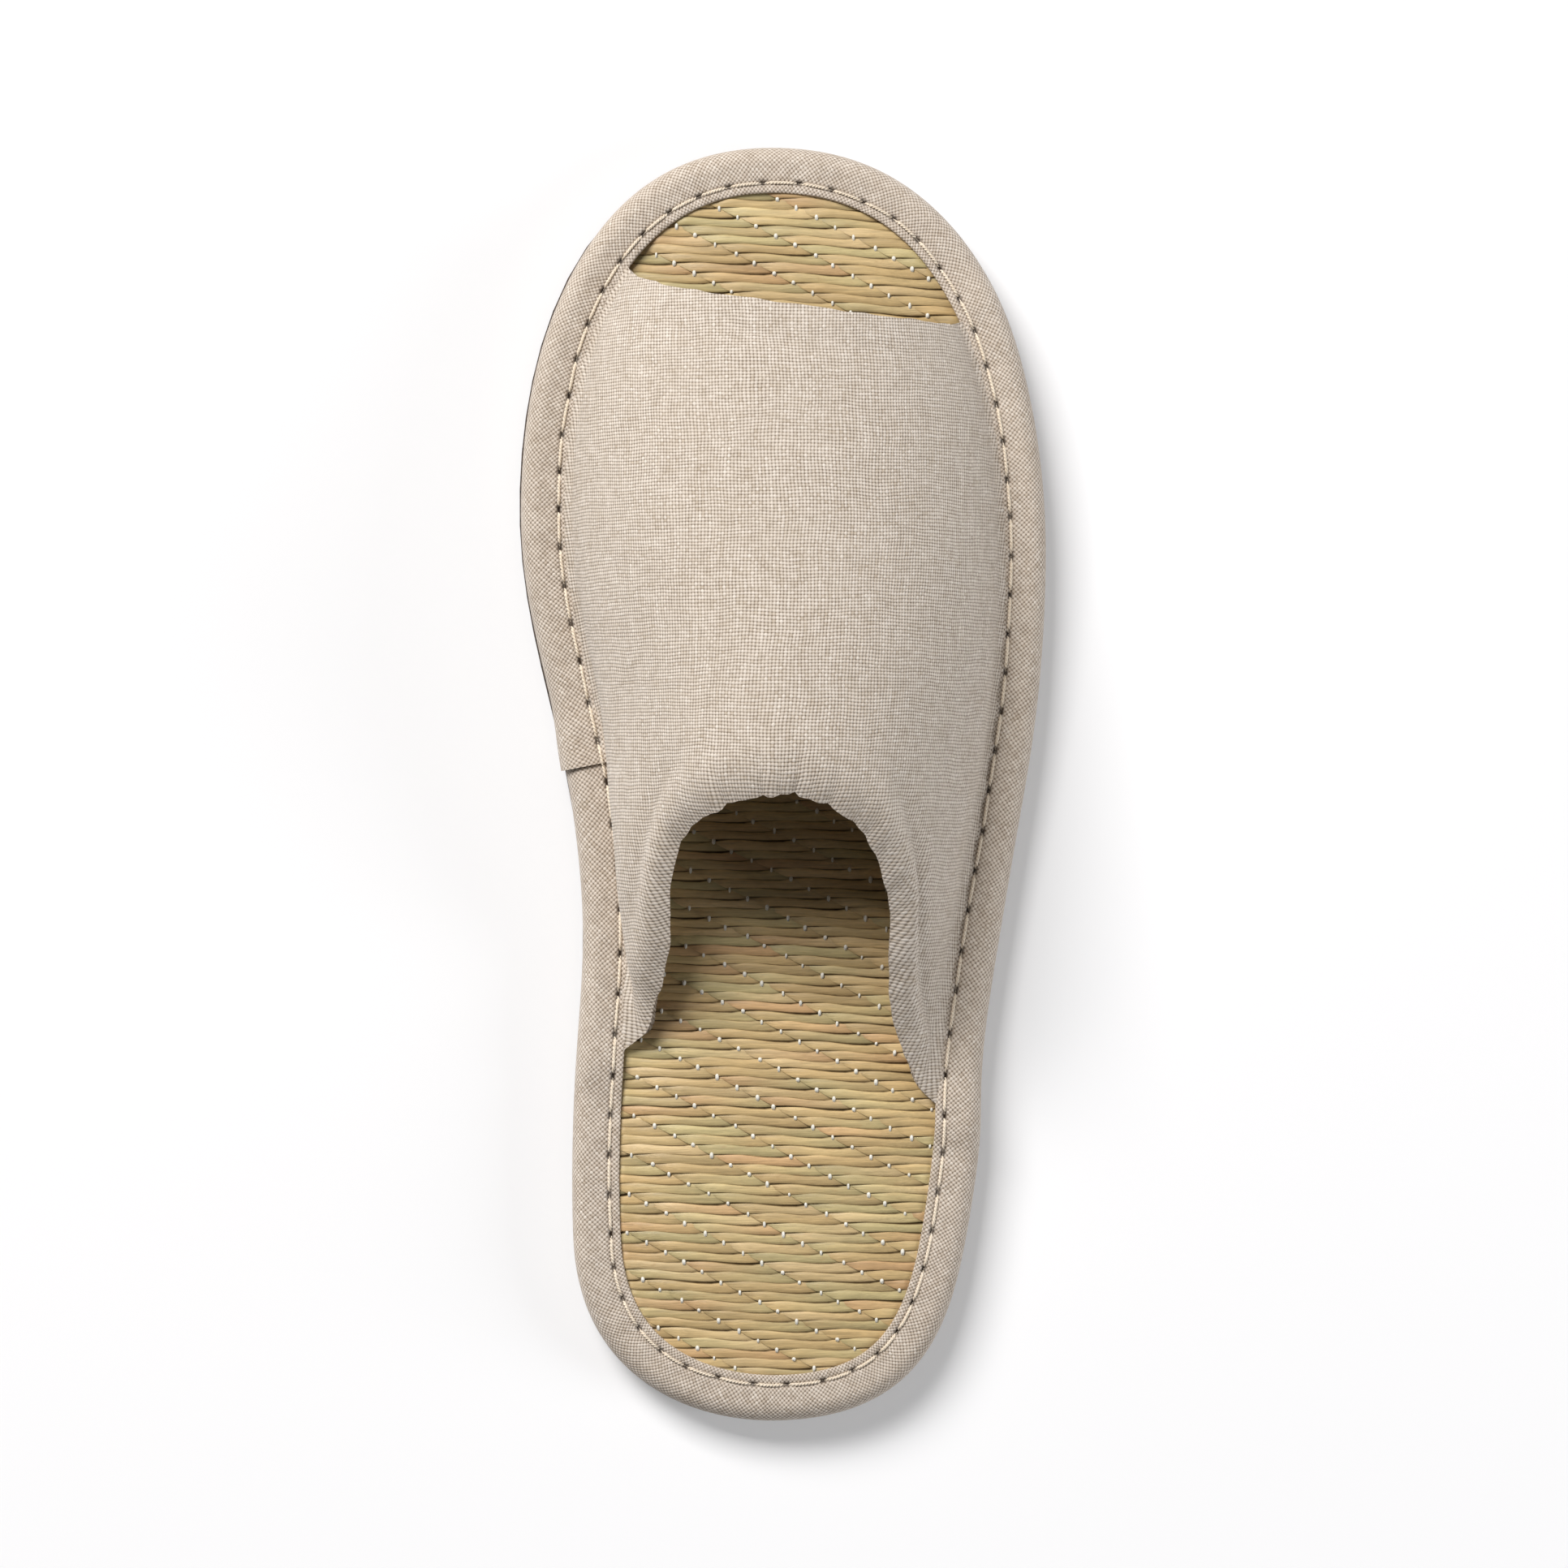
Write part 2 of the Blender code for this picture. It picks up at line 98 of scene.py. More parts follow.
# Tape: its bias weave, its lap and the seam that runs along it
BIAS_ANGLE = math.radians(47.0)
LAP_ALONG = 0.010
LAP_STEP = 0.9 * MM
LAP_RUN = 16.0 * MM
LAP_UNDER = 2.0 * MM
LAP_LIFT = 0.8
STITCH_INSET = 7.5 * MM
STITCH_PITCH = 8.2 * MM
STEPS_PER_STITCH = 16
GROOVE_DEPTH = 0.30 * MM
GROOVE_WIDTH = 0.55 * MM
DENT_DEPTH = 0.85 * MM
DENT_WIDTH = 0.38 * MM
DENT_LENGTH = 1.10 * MM
PUCKER = 0.16 * MM
PUCKER_OFFSET = 2.2 * MM
PUCKER_WIDTH = 2.2 * MM
EDGE_PUFF = 0.18 * MM
EDGE_PUFF_OFFSET = 1.2 * MM
EDGE_PUFF_WIDTH = 0.8 * MM
TAPE_SLACK = 0.12 * MM
TAPE_BOTTOM_PLACE = 6.0 * MM
TAPE_UNDER_PLACES = (TOP_FLAP - 0.15 * MM, 6.5 * MM)
# Painted shade: how dark the needle holes and the stitch groove are painted
HOLE_SHADE = 1.7
VALLEY_SHADE = 0.22
VALLEY_WIDTH = 0.5 * MM
PLY_RADIUS = 0.23 * MM
PLY_OFFSET = 0.17 * MM
PLY_TWIST = 1.5 * MM
THREAD_DIP = 1.5 * MM
THREAD_DIP_RUN = 1.25 * MM
THREAD_LIFT = 0.04 * MM

# Rush: a step along a weft row from warp to warp, and a step up from row to row. Each stem floats
# over four warps and dips under the fifth, one warp further left in each row up.
WARP_STEP = (4.01 * MM, -0.43 * MM)
ROW_STEP = (0.11 * MM, 1.56 * MM)
WARPS_IN_REPEAT = 5
KNOWN_DOT = (-7.3 * MM, -23.1 * MM)
RUSH_INSET = 8.4 * MM
RUSH_SINK = 1.25 * MM
RUSH_CLEARANCE = 0.05 * MM
RUSH_PROUD = 0.80 * MM
RUSH_CEILING_SLOPE = 2.4
STEM_STRAY = 0.09
COTTON_RADIUS = 0.37 * MM
COTTON_HALF_LENGTH = 0.74 * MM
COTTON_PROUD = 0.50 * MM
COTTON_DIP = 0.35 * MM
DOT_SIZES = (0.62, 1.12)
DOT_LENGTHS = (0.7, 1.15)
DOT_TAPER = 0.80
DOT_FLATNESS = 0.9

# Slow waves that bend the mat's rows: size, runs across and along for one radian, and start
Sway = namedtuple("Sway", "size across along start")
MAT_SWAYS = (
    Sway(0.26 * MM, 24.0 * MM, 13.0 * MM, 0.6),
    Sway(0.16 * MM, 9.5 * MM, -21.0 * MM, 0.0),
)
SWAY_ACROSS = 0.6

# Weave of the linen. Sway is how far a thread wanders, in threads.
THREAD_PITCH = 0.69 * MM
THREAD_RELIEF = 0.16 * MM
THREAD_SWAY = 2.4

# The collar's soft turned-in lip
COLLAR_CURL = 3.4 * MM
COLLAR_CURL_RUN = 8.5 * MM

# Slow unevenness of the vamp's cloth: its size, and two waves by run along and rate round the arch
CLOTH_UNEVEN = 0.10 * MM
CLOTH_WAVES = ((11.0 * MM, 3.0), (37.0 * MM, 5.3))

# Edges that turn more than this stay sharp
SHARP_ANGLE = math.radians(75.0)

# Waves of the outsole's fine tread; swing is in radians of a wave
TREAD_PITCH = 3.0 * MM
TREAD_WAVE = 9.0 * MM
TREAD_SWING = 1.7
TREAD_RELIEF = 0.45 * MM

# How far the wall's foot runs out under the tape, where round the arch that starts, and how thin
# the wall is there
FOOT_TUCK = 2.4 * MM
FOOT_STARTS = 0.86
FOOT_THIN = 0.35

# Fineness of the meshes; each of the vamp's sections has this many points on a flange
FLANGE_POINTS = 3
VAMP_COLUMNS = 150
VAMP_ROWS = 110
ROLL_STEPS = 6
ROLL_TURN = 0.96 * math.pi / 2
ARC_STEPS = 40
BOARD_STATIONS = 240
FLAP_STEPS = 13
CORD_SIDES = 6
THREAD_STEPS = 26
DOT_STEPS = 7
CORD_TURNS = np.arange(CORD_SIDES) / CORD_SIDES * 2.0 * math.pi

# The sole's outline, from the heel tip round the lateral side. Across is a share of the ball width;
# along and the handles' reaches are shares of the sole's length; heading is in degrees from +X.
Knot = namedtuple("Knot", "name across along heading reach_in reach_out")
OUTLINE = (
    Knot("heel_tip", -0.019, -0.500, 0.0, 0.057, 0.127),
    Knot("lateral_heel", 0.359, -0.329, 81.7, 0.081, 0.072),
    Knot("lateral_waist", 0.381, -0.208, 84.5, 0.055, 0.107),
    Knot("lateral_ball", 0.500, 0.176, 90.0, 0.139, 0.153),
    Knot("toe_tip", -0.021, 0.500, 180.0, 0.168, 0.140),
    Knot("medial_ball", -0.500, 0.216, 270.0, 0.146, 0.114),
    Knot("medial_waist", -0.383, -0.116, 270.0, 0.141, 0.057),
    Knot("medial_heel", -0.400, -0.358, 272.9, 0.097, 0.117),
)
SEGMENT_STEPS = 64

# Sections of the vamp, from heel to toe. Along is a share of the sole's length, height is the
# crown's share of the instep's height, and the other columns are shares of the ball width.
Section = namedtuple(
    "Section", "along height across medial_foot medial_lean lateral_foot lateral_lean"
)
SECTIONS = (
    Section(-0.270, 0.900, -0.020, 0.010, -0.030, 0.000, -0.040),
    Section(-0.200, 0.950, -0.028, 0.034, -0.115, 0.002, -0.054),
    Section(-0.165, 0.970, -0.030, 0.052, -0.105, 0.004, -0.044),
    Section(-0.130, 0.990, -0.032, 0.054, -0.055, 0.004, -0.028),
    Section(-0.090, 1.000, -0.032, 0.042, -0.004, 0.004, -0.015),
    Section(-0.050, 1.005, -0.030, 0.034, 0.014, 0.004, -0.008),
    Section(0.000, 1.000, -0.022, 0.032, 0.012, 0.008, -0.004),
    Section(0.080, 0.955, -0.008, 0.015, 0.000, 0.006, 0.000),
    Section(0.160, 0.885, 0.000, 0.004, 0.000, 0.002, 0.000),
    Section(0.240, 0.800, 0.004, 0.000, 0.000, 0.000, 0.000),
    Section(0.310, 0.710, 0.004, 0.000, 0.000, 0.000, 0.000),
    Section(0.370, 0.625, 0.002, 0.000, 0.000, 0.002, 0.000),
    Section(0.420, 0.550, 0.000, 0.000, 0.000, 0.004, 0.000),
)

# The vamp's open edges. Around goes from the medial seam (-1) over the crown (0) to the lateral
# seam (1); toe and collar are shares of the sole's length.
Edge = namedtuple("Edge", "around toe collar")
EDGES = (
    Edge(-1.00, 0.408, -0.220),
    Edge(-0.90, 0.404, -0.202),
    Edge(-0.80, 0.401, -0.180),
    Edge(-0.70, 0.398, -0.157),
    Edge(-0.60, 0.395, -0.119),
    Edge(-0.50, 0.391, -0.069),
    Edge(-0.40, 0.387, -0.038),
    Edge(-0.30, 0.384, -0.026),
    Edge(-0.20, 0.380, -0.016),
    Edge(-0.10, 0.377, -0.012),
    Edge(0.00, 0.373, -0.010),
    Edge(0.10, 0.370, -0.015),
    Edge(0.20, 0.367, -0.027),
    Edge(0.30, 0.365, -0.045),
    Edge(0.40, 0.364, -0.074),
    Edge(0.50, 0.363, -0.108),
    Edge(0.60, 0.362, -0.155),
    Edge(0.70, 0.362, -0.192),
    Edge(0.80, 0.363, -0.220),
    Edge(0.90, 0.364, -0.245),
    Edge(1.00, 0.365, -0.262),
)

# Soft troughs and ridges of the vamp. Each runs between two places round the arch, at a distance
# ahead of the collar (or behind the toe edge, where from_toe is true); rise is negative in a trough.
Crease = namedtuple("Crease", "from_toe around_a ahead_a around_b ahead_b width rise")
CREASES = (
    Crease(False, 0.30, 11.0 * MM, 0.90, 10.0 * MM, 4.0 * MM, -1.5 * MM),
    Crease(False, 0.22, 4.0 * MM, 0.88, 4.5 * MM, 3.4 * MM, 1.0 * MM),
    Crease(False, -0.34, 11.0 * MM, -0.78, 12.0 * MM, 5.0 * MM, -1.0 * MM),
    Crease(False, -0.30, 3.0 * MM, -0.80, 3.0 * MM, 3.0 * MM, 0.5 * MM),
    Crease(False, -0.25, 5.5 * MM, 0.30, 6.0 * MM, 3.0 * MM, -0.25 * MM),
    Crease(True, -0.75, 7.0 * MM, 0.70, 7.0 * MM, 3.0 * MM, -0.25 * MM),
    Crease(False, 0.52, 42.0 * MM, 0.74, 66.0 * MM, 8.0 * MM, -0.35 * MM),
    Crease(False, -0.80, 52.0 * MM, -0.52, 40.0 * MM, 9.0 * MM, -0.35 * MM),
)


# Curves and tables


def smooth_column(rows, key, column, at):
    """Read a table's column at any keys, along a smooth curve through its rows."""
    keys = np.array([getattr(row, key) for row in rows])
    values = np.array([getattr(row, column) for row in rows])
    at = np.clip(at, keys[0], keys[-1])
    last = len(keys) - 1
    order = np.arange(last + 1)
    low = np.maximum(order - 1, 0)
    high = np.minimum(order + 1, last)
    slopes = (values[high] - values[low]) / (keys[high] - keys[low])
    index = np.clip(np.searchsorted(keys, at) - 1, 0, last - 1)
    span = keys[index + 1] - keys[index]
    t = (at - keys[index]) / span
    blend = t * t * (3.0 - 2.0 * t)
    ease_out = t * (1.0 - t) ** 2 * span * slopes[index]
    ease_in = t * t * (1.0 - t) * span * slopes[index + 1]
    return values[index] * (1.0 - blend) + values[index + 1] * blend + ease_out - ease_in


def smooth_step(value):
    value = np.clip(value, 0.0, 1.0)
    return value * value * (3.0 - 2.0 * value)


def bell(value):
    return np.exp(-value * value)


def seam_fade(around, power):
    """One over the crown, falling to nothing at the vamp's seams."""
    return 1.0 - np.abs(around) ** power


def bezier(handles, t):
    """A cubic's points and directions at t, which is an array."""
    a, b, c, d = handles
    r = 1.0 - t
    place = a * r ** 3 + b * (3 * r * r * t) + c * (3 * r * t * t) + d * t ** 3
    course = (b - a) * (3 * r * r) + (c - b) * (6 * r * t) + (d - c) * (3 * t * t)
    return place, course


def unit(vectors):
    return vectors / np.linalg.norm(vectors, axis=-1, keepdims=True)


def stack(*columns):
    return np.stack(np.broadcast_arrays(*columns), axis=-1)


# Outline of the sole


def dense_outline():
    """Points and outward normals all round the sole, close together."""
    t = (np.arange(SEGMENT_STEPS) / SEGMENT_STEPS)[:, None]
    points = []
    normals = []
    for knot, following in zip(OUTLINE, OUTLINE[1:] + OUTLINE[:1]):
        start = np.array((knot.across * BALL_WIDTH, knot.along * SOLE_LENGTH))
        end = np.array((following.across * BALL_WIDTH, following.along * SOLE_LENGTH))
        leave = math.radians(knot.heading)
        arrive = math.radians(following.heading)
        out = np.array((math.cos(leave), math.sin(leave))) * knot.reach_out * SOLE_LENGTH
        back = np.array((math.cos(arrive), math.sin(arrive))) * following.reach_in * SOLE_LENGTH
        place, course = bezier((start, start + out, end - back, end), t)
        points.append(place)
        normals.append(unit(stack(course[:, 1], -course[:, 0])))
    return np.concatenate(points), np.concatenate(normals)


RIM_POINTS, RIM_NORMALS = dense_outline()


def rim_lengths():
    """Distance run along the rim at each dense point, and where along it the tape's lap is."""
    closed = np.concatenate((RIM_POINTS, RIM_POINTS[:1]))
    steps = np.linalg.norm(np.diff(closed, axis=0), axis=1)
    lengths = np.concatenate(([0.0], np.cumsum(steps)))
    medial = RIM_POINTS[:, 0] < 0
    medial[: len(medial) // 2] = False
    away = np.where(medial, np.abs(RIM_POINTS[:, 1] - LAP_ALONG * SOLE_LENGTH), SOLE_LENGTH)
    return lengths, lengths[int(np.argmin(away))]


RIM_LENGTHS, LAP_PLACE = rim_lengths()
RIM_TOTAL = RIM_LENGTHS[-1]


def rim_at(run):
    """Points and outward normals at distances run along the rim from the lap."""
    at = (LAP_PLACE + run) % RIM_TOTAL
    found = []
    for table in (RIM_POINTS, RIM_NORMALS):
        closed = np.concatenate((table, table[:1]))
        found.append(stack(*(np.interp(at, RIM_LENGTHS, column) for column in closed.T)))
    return found[0], unit(found[1])


def inset_of(places):
    """How far inside the sole's outline each place is."""
    insets = []
    for chunk in np.array_split(places, max(1, len(places) // 4000)):
        apart = chunk[:, None, :] - RIM_POINTS[None, :, :]
        nearest = np.argmin((apart ** 2).sum(axis=2), axis=1)
        offset = RIM_POINTS[nearest] - chunk
        insets.append((offset * RIM_NORMALS[nearest]).sum(axis=1))
    return np.concatenate(insets)


def seam_table(side, inset):
    """The line at one inset on one side, from heel to toe: rows of x, y and the normal's x, y."""
    line = np.hstack((RIM_POINTS - RIM_NORMALS * inset, RIM_NORMALS))
    line = line[line[:, 0] * side > 0]
    return line[np.argsort(line[:, 1])].T


SEAMS = {side: seam_table(side, SEAM_INSET) for side in (-1, 1)}


def seam_at(side, along):
    """The seam's across place and outward normal; side and along are arrays of one shape."""
    found = []
    for row in (0, 2, 3):
        pair = (np.interp(along, SEAMS[one][1], SEAMS[one][row]) for one in (-1, 1))
        found.append(np.where(side < 0, *pair))
    return found[0], unit(stack(*found[1:]))


# Form of the vamp


def foot_swell(height, rise):
    """How much of a flank's low swelling shows at a height over the seam; one at its peak."""
    start = FLAP_RISE + TAPE_THICKNESS + FIT_GAP - FLANGE_THICKNESS + VAMP_THICKNESS / 4
    share = np.clip((height - start) / (rise - start), 0.0, 1.0)
    fade = SWELL_RISE * (1.0 - SWELL_PEAK) / SWELL_PEAK
    return (share / SWELL_PEAK) ** SWELL_RISE * ((1.0 - share) / (1.0 - SWELL_PEAK)) ** fade


def flank_lean(share):
    """How much of a flank's lean shows at a share of the arch's height; one half way up."""
    return (4.0 * share * (1.0 - share)) ** SWELL_RISE


def vamp_section(around, along):
    """Points half way through the wall, at a place round the arch and a distance along."""
    side = np.where(around < 0, -1, 1)
    share = along / SOLE_LENGTH
    seam, _ = seam_at(side, along)
    crown = smooth_column(SECTIONS, "along", "across", share) * BALL_WIDTH
    height = smooth_column(SECTIONS, "along", "height", share) * INSTEP_HEIGHT
    rise = height - VAMP_THICKNESS / 2 - FLANGE_TOP
    reach = crown + (seam - crown) * CROWN_REACH
    across, _ = bezier((crown, reach, seam, seam), np.abs(around))
    up, _ = bezier((rise, rise, rise * FLANK_REACH, np.zeros_like(rise)), np.abs(around))
    flanks = []
    for form in ("foot", "lean"):
        columns = ("medial_" + form, "lateral_" + form)
        pair = (smooth_column(SECTIONS, "along", column, share) for column in columns)
        flanks.append(np.where(side < 0, *pair))
    level = np.clip(up / rise, 0.0, 1.0)
    out = flanks[0] * foot_swell(up, rise) + flanks[1] * flank_lean(level)
    return stack(across + side * out * BALL_WIDTH, along, FLANGE_TOP + up)


# Small waves of the vamp's edges: size, rate and start over the places round the arch
Wave = namedtuple("Wave", "size rate start")
COLLAR_WAVES = (
    Wave(0.22 * MM, 17.0 * math.pi, 0.4),
    Wave(0.16 * MM, 26.5 * math.pi, 1.9),
    Wave(0.12 * MM, 38.0 * math.pi, 4.1),
)
TOE_WAVES = (Wave(0.10 * MM, 31.0, 0.0), Wave(0.07 * MM, 57.0, 1.0))
NICK_DEPTH = 0.9 * MM
NICK_PLACE = 0.035
NICK_WIDTH = 0.012


def edge_waves(waves, around):
    return sum(wave.size * np.sin(wave.rate * around + wave.start) for wave in waves)


def collar_scallop(around):
    """How far the collar's folded edge wanders towards the toe, in small uneven puckers."""
    nick = NICK_DEPTH * bell((around - NICK_PLACE) / NICK_WIDTH)
    return (edge_waves(COLLAR_WAVES, around) + nick) * seam_fade(around, 4)


def collar_curl(ahead):
    """The wall's last stretch before the collar turns in, towards the foot."""
    return -COLLAR_CURL * np.clip(1.0 - ahead / COLLAR_CURL_RUN, 0.0, 1.0) ** 2


def vamp_edges(around):
    """Where the middle of the wall starts at the toe edge and ends at the collar."""
    toe = smooth_column(EDGES, "around", "toe", around) * SOLE_LENGTH - TOE_ROLL / 2
    collar = smooth_column(EDGES, "around", "collar", around) * SOLE_LENGTH + COLLAR_ROLL / 2
    ripple = edge_waves(TOE_WAVES, around) * seam_fade(around, 4)
    return toe + ripple, collar + collar_scallop(around)


def crease_rise(around, along):
    """How far the troughs and ridges move the wall out."""
    toe, collar = vamp_edges(around)
    rise = np.zeros_like(along)
    for crease in CREASES:
        t = (around - crease.around_a) / (crease.around_b - crease.around_a)
        ahead = crease.ahead_a + (crease.ahead_b - crease.ahead_a) * t
        off = (toe - along if crease.from_toe else along - collar) - ahead
        fade = np.sin(math.pi * np.clip(t, 0.0, 1.0)) ** 0.7
        rise += crease.rise * bell(off / crease.width) * fade
    slow = np.prod([np.sin(along / run + rate * around) for run, rate in CLOTH_WAVES], axis=0)
    return rise + (collar_curl(along - collar) + CLOTH_UNEVEN * slow) * seam_fade(around, 6)


def vamp_middle(around, down):
    """Points of the wall's middle; down is 0 at the toe edge and 1 at the collar."""
    toe, collar = vamp_edges(around)
    return vamp_section(around, toe + (collar - toe) * down)


def grid_frame(grid):
    """Outward directions and directions across the arch, from a grid of the wall's middle."""
    along = np.gradient(grid, axis=0)
    across = unit(np.gradient(grid, axis=1))
    return unit(np.cross(along, across)), across


def cloth_places(around, along):
    """Places on the flat cloth: girth from the crown line, and length along it."""
    steps = np.linspace(0.0, 1.0, ARC_STEPS)
    level = np.broadcast_to(along[..., None], around.shape + steps.shape)
    path = vamp_section(around[..., None] * steps, level)
    girth = np.linalg.norm(np.diff(path, axis=-2), axis=-1).sum(axis=-1)
    lines = np.linspace(CAD_LOW.y, CAD_HIGH.y, 5 * ARC_STEPS)
    crown = vamp_section(np.zeros_like(lines), lines)
    run = np.concatenate(([0.0], np.cumsum(np.linalg.norm(np.diff(crown, axis=0), axis=1))))
    return stack(girth * np.sign(around), np.interp(along, lines, run))


# Meshes


def finish_piece(name, points, faces, materials, cloth=None, tint=None, faces_material=None):
    """Make an object from arrays, with places on the cloth and tints given by vertex."""
    mesh = bpy.data.meshes.new(name)
    mesh.from_pydata(np.asarray(points, dtype=float).reshape(-1, 3).tolist(), [], faces)
    for material in materials:
        mesh.materials.append(material)
    if faces_material is not None:
        mesh.polygons.foreach_set("material_index", np.asarray(faces_material, dtype=np.int32))
    if cloth is not None:
        corners = np.empty(len(mesh.loops), dtype=np.int32)
        mesh.loops.foreach_get("vertex_index", corners)
        layer = mesh.uv_layers.new(name="cloth")
        layer.data.foreach_set("uv", cloth.reshape(-1, 2)[corners].astype(np.float32).ravel())
    if tint is not None:
        layer = mesh.color_attributes.new("tint", "FLOAT_COLOR", "POINT")
        layer.data.foreach_set("color", tint.reshape(-1, 4).astype(np.float32).ravel())
    mesh.validate()
    piece = bpy.data.objects.new(name, mesh)
    bpy.context.scene.collection.objects.link(piece)
    return piece


def grid_faces(rows, columns, ring=False, flip=False):
    """Quads over a grid of vertices numbered row by row; a ring joins each row's two ends."""
    here = np.arange(rows - 1)[:, None] * columns
    across = np.arange(columns if ring else columns - 1)[None, :]
    ahead = (across + 1) % columns
    quads = stack(here + across, here + ahead, here + columns + ahead, here + columns + across)
    quads = quads.reshape(-1, 4)
    if flip:
        quads = quads[:, ::-1]
    return quads.tolist()


def many_tubes(tubes, rows, columns):
    """Faces of many closed tubes of one size, numbered tube by tube."""
    faces = []
    pattern = np.array(grid_faces(rows, columns, ring=True))
    size = rows * columns
    for tube in range(tubes):
        start = tube * size
        faces += (pattern + start).tolist()
        faces.append([start + i for i in reversed(range(columns))])
        faces.append([start + size - columns + i for i in range(columns)])
    return faces


# Materials


class Graph:
    """Nodes of one material. A value is a socket to link or a constant to set."""

    def __init__(self, name):
        self.material = bpy.data.materials.new(name)
        self.material.use_nodes = True
        self.tree = self.material.node_tree
        self.shader = self.tree.nodes["Principled BSDF"]
        self.solid = self.node("ShaderNodeTexCoord").outputs["Object"]

    def feed(self, socket, value):
        if isinstance(value, bpy.types.NodeSocket):
            self.tree.links.new(value, socket)
        elif socket.type == "RGBA":
            socket.default_value = (*value, 1.0)
        else:
            socket.default_value = value

    def node(self, kind, inputs=None, **settings):
        made = self.tree.nodes.new(kind)
        for key, value in settings.items():
            setattr(made, key, value)
        for key, value in (inputs or {}).items():
            self.feed(made.inputs[key], value)
        return made

    def math(self, operation, *values):
        made = self.node("ShaderNodeMath", operation=operation)
        for socket, value in zip(made.inputs, values):
            self.feed(socket, value)
        return made.outputs[0]

    def place(self, x, y, z=0.0):
        return self.node("ShaderNodeCombineXYZ", {0: x, 1: y, 2: z}).outputs[0]

    def parts(self, vector):
        return self.node("ShaderNodeSeparateXYZ", {0: vector}).outputs

    def noise(self, vector, scale, detail=2.0, roughness=0.5):
        values = {"Vector": vector, "Scale": scale, "Detail": detail, "Roughness": roughness}
        return self.node("ShaderNodeTexNoise", values).outputs[0]

    def streaks(self, counts, detail=2.0, roughness=0.5):
        """Noise with its own fineness along each axis, in waves per metre."""
        values = {0: self.solid, 1: counts}
        place = self.node("ShaderNodeVectorMath", values, operation="MULTIPLY").outputs[0]
        return self.noise(place, 1.0, detail, roughness)

    def blend(self, share, first, second, kind="MIX"):
        made = self.node("ShaderNodeMix", data_type="RGBA", blend_type=kind)
        for index, value in ((0, share), (6, first), (7, second)):
            self.feed(made.inputs[index], value)
        return made.outputs[2]

    def ramp(self, share, stops):
        made = self.node("ShaderNodeValToRGB", {0: share})
        elements = made.color_ramp.elements
        while len(elements) < len(stops):
            elements.new(0.5)
        for element, (position, colour) in zip(elements, stops):
            element.position = position
            element.color = (*colour, 1.0)
        return made.outputs[0]

    def span(self, value, low, high, new_low=0.0, new_high=1.0):
        values = {0: value, 1: low, 2: high, 3: new_low, 4: new_high}
        return self.node("ShaderNodeMapRange", values, interpolation_type="SMOOTHSTEP").outputs[0]

    def shade(self, colour, value, low, high, darkest, palest):
        """A colour times a grey that follows a value in a straight line."""
        values = {0: value, 1: low, 2: high, 3: darkest, 4: palest}
        grey = self.node("ShaderNodeMapRange", values).outputs[0]
        grey = self.node("ShaderNodeCombineColor", {0: grey, 1: grey, 2: grey}).outputs[0]
        return self.blend(1.0, colour, grey, "MULTIPLY")

    def tint(self):
        """The tint painted on the mesh, as its colour and its alpha."""
        return self.node("ShaderNodeVertexColor", layer_name="tint").outputs

    def finish(self, colour, height=None, relief=0.0, **constants):
        """Link the colour and the relief, and set the shader's constants on its own sockets."""
        self.feed(self.shader.inputs["Base Color"], colour)
        if height is not None:
            bump = self.node("ShaderNodeBump", {"Height": height, "Distance": relief})
            self.feed(self.shader.inputs["Normal"], bump.outputs[0])
        for key, value in constants.items():
            self.shader.inputs[key.replace("_", " ")].default_value = value
        return self.material


# Colours of a linen's yarns from dark to pale, and the painted shade of the pinholes between them;
# the pale colour also paints a highlight on the tops of the crossings
Linen = namedtuple("Linen", "dark low middle pale pinhole")
UPPER_LINEN = Linen(
    (0.51, 0.420, 0.325), (0.61, 0.525, 0.435), (0.69, 0.605, 0.52), (0.83, 0.755, 0.67),
    (0.20, 0.150, 0.105),
)
LINING_LINEN = Linen(
    (0.52, 0.43, 0.33), (0.60, 0.51, 0.41), (0.66, 0.57, 0.47), (0.76, 0.68, 0.58),
    (0.34, 0.27, 0.20),
)
TAPE_LINEN = Linen(
    (0.47, 0.383, 0.296), (0.585, 0.495, 0.408), (0.668, 0.578, 0.49), (0.83, 0.750, 0.657),
    (0.21, 0.155, 0.105),
)
# Colour of the painted shade in the tape's needle holes and stitch groove
STITCH_SHADE_COLOUR = (0.035, 0.020, 0.010)

# Where in the yarns' noise each of their colours comes
YARN_STOPS = (0.26, 0.41, 0.55, 0.76)


